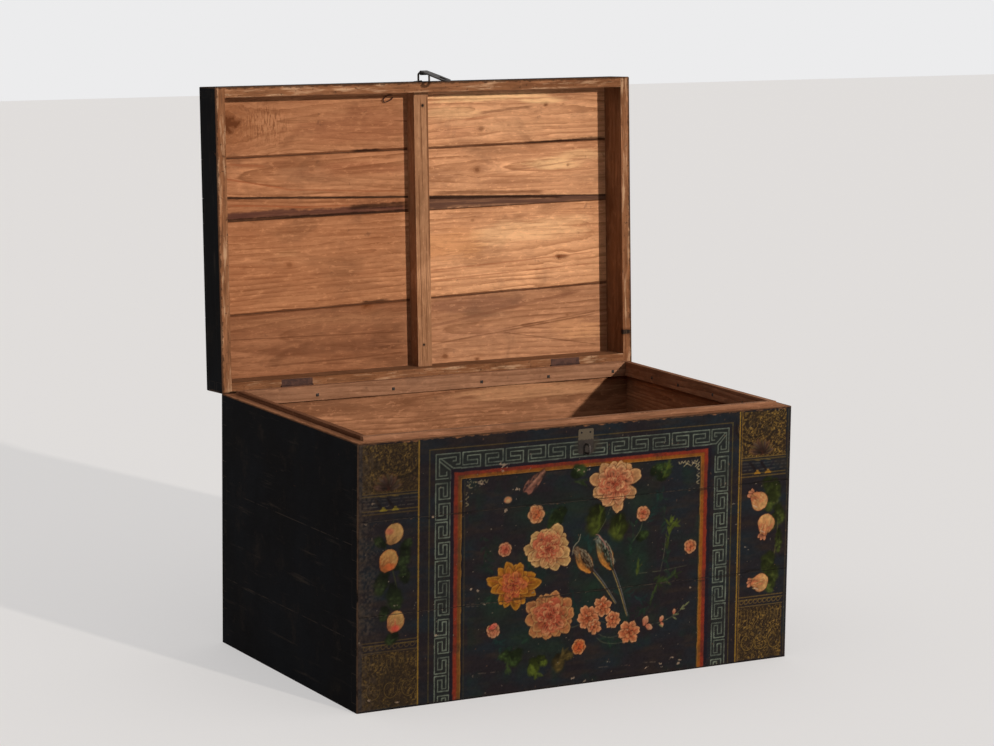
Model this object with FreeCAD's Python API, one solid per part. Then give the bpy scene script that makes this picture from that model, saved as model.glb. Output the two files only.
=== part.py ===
import FreeCAD, Part

import math
import os

Vector = FreeCAD.Vector
X_AXIS = Vector(1, 0, 0)
Y_AXIS = Vector(0, 1, 0)

# A storage chest of boards with a hinged box lid, standing on the floor.
# Origin: middle of the underside. X runs along the front, Y from front to back, Z up.
# All lengths are in millimetres. The lid is built shut and then turned open about its hinges.

# Body of the chest
body_width = 800.0
body_depth = 510.0
body_height = 425.0
board_thickness = 18.5
corner_bevel = 1.5  # worn upright corners
front_seam_shares = (0.357, 0.71)  # heights of the two glue lines in front and back

# Dovetailed corners: tails on the front and back boards, pins on the side boards
tails_per_board = 2
tail_half_share = 0.27  # half width of a tail at its root, as a share of the tail spacing
tail_slope_share = 0.16  # flare of a tail over the thickness of the board

# Bottom boards, let into a rabbet in the lower inner edge of the walls
bottom_thickness = 14.0
rabbet_depth = 9.0
bottom_board_count = 4

# Lips nailed inside the rim, standing proud of it so that the lid fits over them
lip_height = 25.0
lip_thickness = 10.0
lip_rise = 7.0
lip_nail_shares = (-0.86, -0.59, -0.23, 0.2, 0.535, 0.865)  # places along half the width or depth

# Forged nails of the lips: tapered square shank and a low faceted head
nail_length = 22.0
nail_shank = 2.6
nail_tip = 1.2
nail_head = 5.4
nail_head_crown = 2.2
nail_head_rise = 1.1
nail_drop = 16.0  # below the top of the lip

# Lid: four walls, boards laid across them and one batten from front to back
lid_wall_height = 56.0
lid_wall_thickness = 17.5
lid_plank_thickness = 14.0
lid_gap = 0.5  # between the shut lid's rim and the body's rim
lid_edge_round = 8.0
lid_back_arris_round = 1.6
lid_tails = 2
lid_open_angle = 93.0  # as it stands in the photograph
batten_width = 27.0
batten_thickness = 27.0
batten_offset = -2.0

# Joints between the lid boards, from front to back: where each crosses the left and the
# right end of the lid, as shares of the lid's depth from its middle. The third board is a
# tapered filling strip.
plank_joint_shares = ((-0.262, -0.282), (-0.135, -0.084), (-0.054, -0.071), (0.258, 0.222))
plank_seam = 0.8

# Butt hinges let into both rims
hinge_offset = 262.0  # middle of each hinge from the middle of the chest
hinge_length = 58.0
hinge_leaf_thickness = 2.0
hinge_leaf_reach = 17.0  # from the back face towards the inside
hinge_inset = 2.0  # axis in front of the back face
hinge_rise = 2.2  # axis above the rim of the body
knuckle_radius = 4.5
hinge_pin_radius = 1.8
hinge_play = 0.06  # round the pin
knuckle_clearance = 0.4
knuckle_shares = (0.33, 0.67)  # the middle knuckle turns with the lid
pin_end = 1.2  # of the pin beyond the knuckles, each side

# Hasp on the lid's front, and the plate and staple that it closes over
lock_offset = 5.0  # of hasp, plate and staple from the middle of the chest
hasp_pivot_above_rim = 30.0
hasp_pivot_stand_off = 15.0
hasp_thickness = 2.5
hasp_eye_radius = 4.0
hasp_eye_width = 13.0
hasp_width = 16.0
hasp_length = 90.0  # from pivot to tip
hasp_neck_length = 40.0  # pivot to where the strap is at its full width
hasp_slot_width = 6.0
hasp_slot_length = 28.0
hasp_slot_centre = 70.0  # from the pivot
hasp_droop_angle = 10.2  # towards the front face, from square down
hasp_bar_radius = 1.7
hasp_play = 0.07
hasp_side_play = 0.6
staple_bend_radius = 3.4
staple_sides = 12  # of the hammered rod
staple_bend_steps = 3  # straight runs in each bend
hasp_staple_bite = 14.0  # depth of its legs in the lid wall

lock_staple_drop = 39.0  # below the rim
lock_staple_bar_radius = 1.8
lock_staple_height = 14.4  # between the middles of its legs
lock_staple_stand_off = 13.0  # to the middle of its bar
lock_staple_bite = 16.0

lock_plate_width = 28.0
lock_plate_height = 40.0
lock_plate_thickness = 0.8
lock_plate_drop = 7.0  # top edge below the rim
lock_plate_corner = 2.5
plate_hole_radius = 1.7
plate_hole_inset = 6.0

overrun = 1.0  # cutters run past the faces that they open

# Worked out from the sizes above
half_width = body_width / 2
half_depth = body_depth / 2
inner_half_width = half_width - board_thickness
inner_half_depth = half_depth - board_thickness
hinge_y = half_depth - hinge_inset
hinge_z = body_height + hinge_rise
rim_z = body_height + lid_gap
lid_plank_z = rim_z + lid_wall_height
lid_top_z = lid_plank_z + lid_plank_thickness
lid_inner_half_width = half_width - lid_wall_thickness
lid_inner_half_depth = half_depth - lid_wall_thickness
lip_base_z = body_height + lip_rise - lip_height
lip_inner_half_width = inner_half_width - lip_thickness
lip_inner_half_depth = inner_half_depth - lip_thickness
bottom_half_width = inner_half_width + rabbet_depth
bottom_half_depth = inner_half_depth + rabbet_depth
hinge_point = Vector(0, hinge_y, hinge_z)


def block(x0, x1, y0, y1, z0, z1):
    """Solid box between six planes."""
    return Part.makeBox(x1 - x0, y1 - y0, z1 - z0, Vector(x0, y0, z0))


def prism(points, along):
    """Solid made by pushing a flat outline along a vector."""
    wire = Part.makePolygon(points + [points[0]])
    return Part.Face(wire).extrude(along)


def minus(shape, cutters):
    """Shape with each cutter taken out, one solid at a time."""
    for cutter in cutters:
        shape = shape.cut(cutter)
    return shape


def tidy(shape):
    """Merge split faces and give back a single solid where there is only one."""
    shape = shape.removeSplitter()
    return shape.Solids[0] if len(shape.Solids) == 1 else shape


def open_lid(shape):
    """Turn a piece of the lid from shut to its resting place."""
    return shape.rotated(hinge_point, X_AXIS, -lid_open_angle)


parts = {}


def put(name, shape):
    parts[name] = shape


def nail_at(place, pointing):
    """Nail with its head at a place, driven along a direction."""

    def square(side, z):
        corners = [(-side, -side), (side, -side), (side, side), (-side, side)]
        points = [Vector(x, y, z) for x, y in corners]
        return Part.makePolygon(points + [points[0]])

    shank = Part.makeLoft([square(nail_shank / 2, 0), square(nail_tip / 2, -nail_length)], True, True)
    head = Part.makeLoft([square(nail_head / 2, 0), square(nail_head_crown / 2, nail_head_rise)], True, True)
    shape = tidy(shank.fuse(head))
    shape.Placement = FreeCAD.Placement(place, FreeCAD.Rotation(Vector(0, 0, -1), pointing))
    return shape


# Rows of boards and the tails that join them
front_seams = [0.0] + [share * body_height for share in front_seam_shares] + [body_height]
front_rows = list(zip(front_seams[:-1], front_seams[1:]))
row_names = ("lower", "middle", "upper")


def tail_centres(low, high, count):
    """Heights of the tails of one board, evenly spaced, with half pins at its edges."""
    spacing = (high - low) / count
    return [(low + (index + 0.5) * spacing, spacing * tail_half_share) for index in range(count)]


def tails(rows, count, side, thickness, y0, y1):
    """Tails at one upright corner: wedges that widen towards the end of the board."""
    root = side * (half_width - thickness)
    end = side * half_width
    flare = thickness * tail_slope_share
    wedges = []
    for low, high in rows:
        for centre, half in tail_centres(low, high, count):
            wedges.append(prism([Vector(root, y0, centre - half), Vector(end, y0, centre - half - flare),
                                 Vector(end, y0, centre + half + flare), Vector(root, y0, centre + half)],
                                Vector(0, y1 - y0, 0)))
    return wedges


def tailed_board(low, high, count, end_thickness, y0, y1):
    """Front or back board: its straight part and the tails at both ends."""
    reach = half_width - end_thickness
    board = block(-reach, reach, y0, y1, low, high)
    for side in (-1, 1):
        board = board.fuse(tails([(low, high)], count, side, end_thickness, y0, y1))
    return tidy(board)


def outer_form(low, high):
    """Outer form of body or lid: a box with its upright corners bevelled."""
    form = block(-half_width, half_width, -half_depth, half_depth, low, high)
    upright = [edge for edge in form.Edges if abs(edge.tangentAt(edge.FirstParameter).z) > 0.9]
    return form.makeChamfer(corner_bevel, upright)


# Body walls
body_form = outer_form(0.0, body_height)
bottom_space = block(-bottom_half_width, bottom_half_width, -bottom_half_depth, bottom_half_depth,
                     0.0, bottom_thickness)
hinge_centres = {"left": -hinge_offset, "right": hinge_offset}


def axis_cylinder(radius, x0, x1):
    """Cylinder round the lid's hinge axis between two places along X."""
    return Part.makeCylinder(radius, x1 - x0, Vector(x0, hinge_y, hinge_z), X_AXIS)


# Holes and recesses that the hinges need in the rims
half_leaf = hinge_length / 2
knuckle_space = knuckle_radius + knuckle_clearance
leaf_front_y = half_depth - hinge_leaf_reach
pin_reach = half_leaf + pin_end
knuckle_spaces = [axis_cylinder(knuckle_space, centre - pin_reach - knuckle_clearance,
                                centre + pin_reach + knuckle_clearance)
                  for centre in hinge_centres.values()]


def leaf_plate(centre, low, high):
    """Flat of a hinge leaf, from its front edge to past the hinge axis."""
    return block(centre - half_leaf, centre + half_leaf, leaf_front_y, hinge_y, low, high)


body_leaf_recess = [block(centre - half_leaf, centre + half_leaf, leaf_front_y, half_depth + overrun,
                          body_height - hinge_leaf_thickness, body_height + overrun)
                    for centre in hinge_centres.values()]
lid_leaf_recess = [block(centre - half_leaf, centre + half_leaf, leaf_front_y, half_depth + overrun,
                         rim_z - overrun, rim_z + hinge_leaf_thickness)
                   for centre in hinge_centres.values()]


# Lips round the rim: the front and back ones run right across, the side ones fit between them
lip_top_z = lip_base_z + lip_height
lip_blanks = {
    "front_lip": block(-inner_half_width, inner_half_width, -inner_half_depth, -lip_inner_half_depth,
                       lip_base_z, lip_top_z),
    "back_lip": block(-inner_half_width, inner_half_width, lip_inner_half_depth, inner_half_depth,
                      lip_base_z, lip_top_z),
    "left_lip": block(-inner_half_width, -lip_inner_half_width, -lip_inner_half_depth,
                      lip_inner_half_depth, lip_base_z, lip_top_z),
    "right_lip": block(lip_inner_half_width, inner_half_width, -lip_inner_half_depth,
                       lip_inner_half_depth, lip_base_z, lip_top_z),
}
lip_nails = []
for share in lip_nail_shares:
    for side in (-1, 1):
        head = Vector(share * half_width, side * lip_inner_half_depth, lip_top_z - nail_drop)
        lip_nails.append(nail_at(head, Vector(0, side, 0)))
        if abs(share * half_depth) < lip_inner_half_depth - board_thickness:
            head = Vector(side * lip_inner_half_width, share * half_depth, lip_top_z - nail_drop)
            lip_nails.append(nail_at(head, Vector(side, 0, 0)))
for name, blank in lip_blanks.items():
    put(name, minus(blank, lip_nails))
put("lip_nails", Part.makeCompound(lip_nails))

# Bottom boards, let up into the rabbet from below
bottom_width = 2 * bottom_half_depth / bottom_board_count
for index in range(bottom_board_count):
    low = -bottom_half_depth + index * bottom_width
    board = block(-bottom_half_width, bottom_half_width, low, low + bottom_width, 0.0, bottom_thickness)
    put("bottom_board_%d" % (index + 1), board)


# Staple: two legs and a bar, bent from one hammered rod
def staple(bar_radius, half_span, stand_off, bite, bend):
    """Rod in the YZ plane: legs along +Y into the wood, bar along Z in front of it."""
    path = [Vector(0, bite, -half_span)]
    for side in (-1, 1):
        turns = range(staple_bend_steps + 1)
        for step in turns if side < 0 else reversed(turns):
            angle = math.pi / 2 * step / staple_bend_steps
            path.append(Vector(0, bend - stand_off - bend * math.sin(angle),
                               side * (half_span - bend + bend * math.cos(angle))))
    path.append(Vector(0, bite, half_span))
    ring = []
    for side in range(staple_sides):
        angle = 2 * math.pi * side / staple_sides
        ring.append(Vector(bar_radius * math.cos(angle), bite, bar_radius * math.sin(angle) - half_span))
    section = Part.makePolygon(ring + [ring[0]])
    mitred = 1
    return tidy(Part.makePolygon(path).makePipeShell([section], True, False, mitred))


# Lock plate and staple on the body's front
lock_staple = staple(lock_staple_bar_radius, lock_staple_height / 2, lock_staple_stand_off,
                     lock_staple_bite, staple_bend_radius)
lock_staple.translate(Vector(lock_offset, -half_depth, body_height - lock_staple_drop))
plate_top = body_height - lock_plate_drop
plate = block(lock_offset - lock_plate_width / 2, lock_offset + lock_plate_width / 2,
              -half_depth - lock_plate_thickness, -half_depth, plate_top - lock_plate_height, plate_top)
plate = plate.makeFillet(lock_plate_corner, [edge for edge in plate.Edges
                                             if abs(edge.tangentAt(edge.FirstParameter).y) > 0.9])
for side in (-1, 1):
    centre = Vector(lock_offset + side * (lock_plate_width / 2 - plate_hole_inset),
                    -half_depth - lock_plate_thickness - overrun, plate_top - plate_hole_inset)
    through = lock_plate_thickness + 2 * overrun
    plate = plate.cut(Part.makeCylinder(plate_hole_radius, through, centre, Y_AXIS))
put("lock_plate", plate.cut(lock_staple))
put("lock_staple", lock_staple)

# Front and back boards of the body
for name, y0, y1 in (("front", -half_depth, -inner_half_depth), ("back", inner_half_depth, half_depth)):
    for (low, high), row in zip(front_rows, row_names):
        board = tailed_board(low, high, tails_per_board, board_thickness, y0, y1).common(body_form)
        cutters = [bottom_space] + lip_nails
        if name == "front":
            cutters.append(lock_staple)
        if name == "back" and row == "upper":
            cutters = cutters + body_leaf_recess + knuckle_spaces
        put("%s_board_%s" % (name, row), tidy(minus(board, cutters)))

# Side boards: their glue lines run through the middle of a tail of the front
side_seams = [0.0]
for low, high in front_rows[:-1]:
    side_seams.append(tail_centres(low, high, tails_per_board)[-1][0])
side_seams.append(body_height)
for side, name in ((-1, "left"), (1, "right")):
    sockets = tails(front_rows, tails_per_board, side, board_thickness, -half_depth, -inner_half_depth)
    sockets += tails(front_rows, tails_per_board, side, board_thickness, inner_half_depth, half_depth)
    x0, x1 = sorted((side * inner_half_width, side * half_width))
    for low, high, row in zip(side_seams[:-1], side_seams[1:], row_names):
        board = block(x0, x1, -half_depth, half_depth, low, high)
        near = [wedge for wedge in sockets if wedge.BoundBox.ZMax > low and wedge.BoundBox.ZMin < high]
        board = minus(board, near).common(body_form)
        put("%s_board_%s" % (name, row), tidy(minus(board, [bottom_space] + lip_nails)))

# Hinges: a leaf in each rim, with the pin held by the leaf of the body
for name, centre in hinge_centres.items():
    left, right = centre - half_leaf, centre + half_leaf
    first = left + knuckle_shares[0] * hinge_length
    second = left + knuckle_shares[1] * hinge_length
    pin = axis_cylinder(hinge_pin_radius, left - pin_end, right + pin_end)
    bore = axis_cylinder(hinge_pin_radius + hinge_play, left - overrun, right + overrun)
    turning_space = axis_cylinder(knuckle_space, first, second)
    fixed_space = [axis_cylinder(knuckle_space, left, first), axis_cylinder(knuckle_space, second, right)]
    knuckle_gap = knuckle_clearance / 2

    body_leaf = leaf_plate(centre, body_height - hinge_leaf_thickness, body_height).cut(turning_space)
    body_leaf = body_leaf.fuse([axis_cylinder(knuckle_radius, left, first - knuckle_gap),
                                axis_cylinder(knuckle_radius, second + knuckle_gap, right)])
    body_leaf = tidy(body_leaf.cut(axis_cylinder(hinge_pin_radius, left - overrun, right + overrun)))
    lid_leaf = minus(leaf_plate(centre, rim_z, rim_z + hinge_leaf_thickness), fixed_space)
    lid_leaf = lid_leaf.fuse(axis_cylinder(knuckle_radius, first + knuckle_gap, second - knuckle_gap))
    lid_leaf = tidy(lid_leaf.cut(bore))
    put("%s_hinge_body_leaf" % name, body_leaf)
    put("%s_hinge_pin" % name, pin)
    put("%s_hinge_lid_leaf" % name, open_lid(lid_leaf))

# Batten under the lid boards
batten_left = batten_offset - batten_width / 2
batten_right = batten_offset + batten_width / 2
batten = block(batten_left, batten_right, -lid_inner_half_depth, lid_inner_half_depth,
               lid_plank_z - batten_thickness, lid_plank_z)
put("lid_batten", open_lid(batten))

# Lid boards, each between two slanting joints
joints = [(-half_depth, -half_depth)]
joints += [(left * body_depth, right * body_depth) for left, right in plank_joint_shares]
joints.append((half_depth, half_depth))
lid_form = block(-half_width, half_width, -half_depth, half_depth, rim_z, lid_top_z)
lid_form = lid_form.makeFillet(lid_edge_round, [edge for edge in lid_form.Edges
                                                if edge.BoundBox.ZMin > lid_plank_z])
lid_form = lid_form.common(outer_form(rim_z, lid_top_z))
for index, (near, far) in enumerate(zip(joints[:-1], joints[1:])):
    near_seam = plank_seam / 2 if index else 0.0
    far_seam = plank_seam / 2 if index < len(joints) - 2 else 0.0
    outline = [Vector(-half_width, near[0] + near_seam, lid_plank_z),
               Vector(half_width, near[1] + near_seam, lid_plank_z),
               Vector(half_width, far[1] - far_seam, lid_plank_z),
               Vector(-half_width, far[0] - far_seam, lid_plank_z)]
    plank = prism(outline, Vector(0, 0, lid_plank_thickness)).common(lid_form)
    put("lid_plank_%d" % (index + 1), open_lid(tidy(plank)))

# Staple that holds the hasp to the lid
hasp_pivot = Vector(lock_offset, -half_depth - hasp_pivot_stand_off, rim_z + hasp_pivot_above_rim)
hasp_half_span = hasp_eye_width / 2 + hasp_side_play + staple_bend_radius
hasp_staple = staple(hasp_bar_radius, hasp_half_span, hasp_pivot_stand_off,
                     hasp_staple_bite, staple_bend_radius)
hasp_staple.rotate(Vector(0, 0, 0), Y_AXIS, 90)
hasp_staple.translate(Vector(lock_offset, -half_depth, rim_z + hasp_pivot_above_rim))
put("hasp_staple", open_lid(hasp_staple))

# Walls of the lid: front and back carry the tails, sides the pins
lid_rows = [(rim_z, lid_plank_z)]
back_arris = block(-half_width, half_width, half_depth - lid_back_arris_round, half_depth,
                   rim_z, rim_z + lid_back_arris_round)
back_arris = back_arris.cut(Part.makeCylinder(lid_back_arris_round, body_width,
                                              Vector(-half_width, half_depth - lid_back_arris_round,
                                                     rim_z + lid_back_arris_round), X_AXIS))
lid_ends = (("front", -half_depth, -lid_inner_half_depth), ("back", lid_inner_half_depth, half_depth))
for name, y0, y1 in lid_ends:
    wall = tailed_board(rim_z, lid_plank_z, lid_tails, lid_wall_thickness, y0, y1).common(lid_form)
    cutters = [hasp_staple] if name == "front" else lid_leaf_recess + knuckle_spaces + [back_arris]
    put("lid_%s_wall" % name, open_lid(tidy(minus(wall, cutters))))
for side, name in ((-1, "left"), (1, "right")):
    x0, x1 = sorted((side * lid_inner_half_width, side * half_width))
    wall = block(x0, x1, -half_depth, half_depth, rim_z, lid_plank_z)
    for _, y0, y1 in lid_ends:
        wall = minus(wall, tails(lid_rows, lid_tails, side, lid_wall_thickness, y0, y1))
    put("lid_%s_wall" % name, open_lid(tidy(wall.common(lid_form).cut(back_arris))))

# Hasp: a strap with a rolled eye at the top and a slot for the lock staple, hanging straight down
strap_front = -hasp_eye_radius  # the strap leaves the front of the eye
eye_half = hasp_eye_width / 2
strap_half = hasp_width / 2
outline = [Part.LineSegment(Vector(-eye_half, strap_front, 0),
                            Vector(-strap_half, strap_front, -hasp_neck_length)),
           Part.LineSegment(Vector(-strap_half, strap_front, -hasp_neck_length),
                            Vector(-strap_half, strap_front, strap_half - hasp_length)),
           Part.Arc(Vector(-strap_half, strap_front, strap_half - hasp_length),
                    Vector(0, strap_front, -hasp_length),
                    Vector(strap_half, strap_front, strap_half - hasp_length)),
           Part.LineSegment(Vector(strap_half, strap_front, strap_half - hasp_length),
                            Vector(strap_half, strap_front, -hasp_neck_length)),
           Part.LineSegment(Vector(strap_half, strap_front, -hasp_neck_length),
                            Vector(eye_half, strap_front, 0)),
           Part.LineSegment(Vector(eye_half, strap_front, 0), Vector(-eye_half, strap_front, 0))]
strap = Part.Face(Part.Wire([piece.toShape() for piece in outline])).extrude(Vector(0, hasp_thickness, 0))
slot_half = hasp_slot_width / 2
slot_run = hasp_slot_length / 2 - slot_half
slot = block(-slot_half, slot_half, strap_front - overrun, strap_front + hasp_thickness + overrun,
             -hasp_slot_centre - slot_run, -hasp_slot_centre + slot_run)
for end in (-slot_run, slot_run):
    slot = slot.fuse(Part.makeCylinder(slot_half, hasp_thickness + 2 * overrun,
                                       Vector(0, strap_front - overrun, -hasp_slot_centre + end), Y_AXIS))
eye = Part.makeCylinder(hasp_eye_radius, hasp_eye_width, Vector(-eye_half, 0, 0), X_AXIS)
eye_bore = Part.makeCylinder(hasp_bar_radius + hasp_play, hasp_eye_width + 2 * overrun,
                             Vector(-eye_half - overrun, 0, 0), X_AXIS)
hasp = tidy(strap.fuse(eye).cut(eye_bore).cut(slot))
hasp.rotate(Vector(0, 0, 0), X_AXIS, hasp_droop_angle)
hasp.translate(hasp_pivot)
put("hasp", open_lid(hasp))

os.makedirs("parts", exist_ok=True)
for name, shape in parts.items():
    shape.exportStep(os.path.join("parts", name + ".step"))
    print("%-24s solids %2d  volume %10.0f  valid %s"
          % (name, len(shape.Solids), shape.Volume, shape.isValid()))
turned_pivot = hasp_pivot.sub(hinge_point)
turned_pivot = FreeCAD.Rotation(X_AXIS, -lid_open_angle).multVec(turned_pivot).add(hinge_point)
print("hinge axis", hinge_point, " hasp pivot at rest", turned_pivot)
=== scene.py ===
import bpy
import math
import numpy as np
from mathutils import Matrix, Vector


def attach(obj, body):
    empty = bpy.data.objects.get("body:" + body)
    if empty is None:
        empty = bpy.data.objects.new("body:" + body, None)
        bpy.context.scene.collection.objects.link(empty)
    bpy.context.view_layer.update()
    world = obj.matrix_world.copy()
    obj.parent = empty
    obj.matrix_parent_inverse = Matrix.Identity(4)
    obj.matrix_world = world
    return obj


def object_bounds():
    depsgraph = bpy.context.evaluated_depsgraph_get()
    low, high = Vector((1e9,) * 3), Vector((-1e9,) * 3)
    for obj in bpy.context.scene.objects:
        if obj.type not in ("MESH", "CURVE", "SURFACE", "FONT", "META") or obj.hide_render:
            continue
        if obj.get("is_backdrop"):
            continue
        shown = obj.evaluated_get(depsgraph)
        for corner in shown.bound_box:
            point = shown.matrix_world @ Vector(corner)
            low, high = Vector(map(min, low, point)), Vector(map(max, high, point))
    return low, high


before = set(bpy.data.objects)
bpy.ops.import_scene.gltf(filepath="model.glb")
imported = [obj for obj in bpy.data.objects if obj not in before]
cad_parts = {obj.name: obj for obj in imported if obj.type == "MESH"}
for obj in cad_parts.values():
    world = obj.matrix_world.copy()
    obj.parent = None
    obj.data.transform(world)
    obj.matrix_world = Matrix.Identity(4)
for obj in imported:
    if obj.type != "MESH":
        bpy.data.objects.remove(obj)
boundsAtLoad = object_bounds()
print("frame loaded")

# main lengths in millimetres, as the CAD has them
chest = {
    "halfWidth": 400.0, "halfDepth": 255.0, "height": 425.0, "seams": (151.7, 301.75), "hingeY": 253.0,
    "hingeZ": 427.2, "openAngle": 93.0,
}


def linear(rgb):
    # sRGB 0..255 to linear light
    c = np.asarray(rgb, float) / 255
    return np.where(c < 0.04045, c / 12.92, ((c + 0.055) / 1.055) ** 2.4)


def paintTone(rgb):
    # the same as a tuple with alpha, for a colour socket
    return tuple(float(v) for v in linear(rgb)) + (1.0,)


def scaled(rgb, factor):
    # each channel times factor, at most 255
    return tuple(min(255, v * factor) for v in rgb)


class Link:
    # a shader socket that can stand in a sum
    def __init__(self, graph, socket):
        self.graph = graph
        self.socket = socket

    def maths(self, operation, a, b=0.0, clamp=False):
        settings = {"operation": operation, "use_clamp": clamp}
        return self.graph.add("ShaderNodeMath", settings, {0: a, 1: b})

    def __add__(self, other):
        return self.maths("ADD", self, other)

    def __radd__(self, other):
        return self.maths("ADD", other, self)

    def __sub__(self, other):
        return self.maths("SUBTRACT", self, other)

    def __rsub__(self, other):
        return self.maths("SUBTRACT", other, self)

    def __mul__(self, other):
        return self.maths("MULTIPLY", self, other)

    def __rmul__(self, other):
        return self.maths("MULTIPLY", other, self)

    def __truediv__(self, other):
        return self.maths("DIVIDE", self, other)

    def __rtruediv__(self, other):
        return self.maths("DIVIDE", other, self)

    def __pow__(self, other):
        return self.maths("POWER", self, other)

    def __rpow__(self, other):
        return self.maths("POWER", other, self)

    def __abs__(self):
        return self.maths("ABSOLUTE", self)

    def sine(self):
        return self.maths("SINE", self)

    def most(self, other):
        return self.maths("MAXIMUM", self, other)

    def least(self, other):
        return self.maths("MINIMUM", self, other)

    def clamped(self):
        return self.maths("ADD", self, 0.0, True)

    def fraction(self):
        return self.maths("FRACT", self)

    def rise(self, low, high):
        # 0 below low, 1 above high, smooth between
        settings = {"interpolation_type": "SMOOTHSTEP", "clamp": True}
        return self.graph.add(
            "ShaderNodeMapRange", settings, {"Value": self, "From Min": low, "From Max": high},
        )


class Graph:
    # the nodes of one material with a Principled shader, or those of the world, which has none
    def __init__(self, name, world=None):
        self.material = world or bpy.data.materials.new(name)
        self.material.use_nodes = True
        self.tree = self.material.node_tree
        self.tree.nodes.clear()
        self.end = self.tree.nodes.new("ShaderNodeOutputWorld" if world else "ShaderNodeOutputMaterial")
        if not world:
            self.shader = self.tree.nodes.new("ShaderNodeBsdfPrincipled")
            self.show(Link(self, self.shader.outputs[0]))

    def show(self, link):
        # what the output gets
        self.tree.links.new(link.socket, self.end.inputs["Surface"])

    def add(self, kind, settings, sockets, out=0):
        node = self.tree.nodes.new(kind)
        for key, value in settings.items():
            setattr(node, key, value)
        for key, value in sockets.items():
            self.feed(node.inputs[key], value)
        return Link(self, node.outputs[out])

    def shade(self, **sockets):
        for key, value in sockets.items():
            self.feed(self.shader.inputs[key.replace("_", " ")], value)

    def feed(self, target, value):
        # a link or a constant into a socket
        if isinstance(value, Link):
            self.tree.links.new(value.socket, target)
        else:
            target.default_value = value

    def parts(self, vector):
        return [self.add("ShaderNodeSeparateXYZ", {}, {0: vector}, n) for n in range(3)]

    def join(self, x, y, z):
        return self.add("ShaderNodeCombineXYZ", {}, {0: x, 1: y, 2: z})

    def place(self, onLid=False):
        # object coordinates in metres; those of the lid turned back to the shut lid
        spot = self.add("ShaderNodeTexCoord", {}, {}, "Object")
        if not onLid:
            return spot
        turn = math.radians(chest["openAngle"])
        hinge = np.array([0, chest["hingeY"], chest["hingeZ"]]) / 1000
        swing = np.array([
            [1, 0, 0], [0, math.cos(turn), -math.sin(turn)], [0, math.sin(turn), math.cos(turn)],
        ])
        shift = hinge - swing @ hinge
        sockets = {"Vector": spot, "Location": tuple(shift), "Rotation": (turn, 0.0, 0.0)}
        return self.add("ShaderNodeMapping", {"vector_type": "POINT"}, sockets)

    def noise(self, vector, scale, detail=3.0, rough=0.55, twist=0.0):
        sockets = {
            "Vector": vector, "Scale": scale, "Detail": detail, "Roughness": rough, "Distortion": twist,
        }
        return self.add("ShaderNodeTexNoise", {"noise_dimensions": "3D"}, sockets)

    def mix(self, share, a, b, blend="MIX"):
        tones = [paintTone(v) if isinstance(v, (tuple, list)) else v for v in (a, b)]
        settings = {"data_type": "RGBA", "blend_type": blend, "clamp_factor": True}
        return self.add("ShaderNodeMix", settings, {0: share, 6: tones[0], 7: tones[1]}, 2)

    def bump(self, height, depth, strength=1.0):
        # depth: metres of relief for a height of one
        return self.add("ShaderNodeBump", {}, {"Height": height, "Distance": depth, "Strength": strength})


coatTones = {
    "base": ((15, 14, 15), (19, 20, 23)), "cloud": (38, 33, 30), "scuff": (62, 54, 48),
    "deep": (12, 12, 14), "joint": (60, 52, 46), "corner": (84, 64, 50),
}
woodTones = {
    "soil": (104, 74, 58), "halo": (132, 78, 44), "knot": (98, 52, 26),
    "ripple": ((112, 68, 42), (206, 160, 118)), "mark": ((70, 42, 28), (40, 34, 31)),
    "rim": ((204, 166, 132), (92, 62, 44), (66, 44, 32)), "corner": (58, 40, 30),
}
woodShine = 0.012


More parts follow.
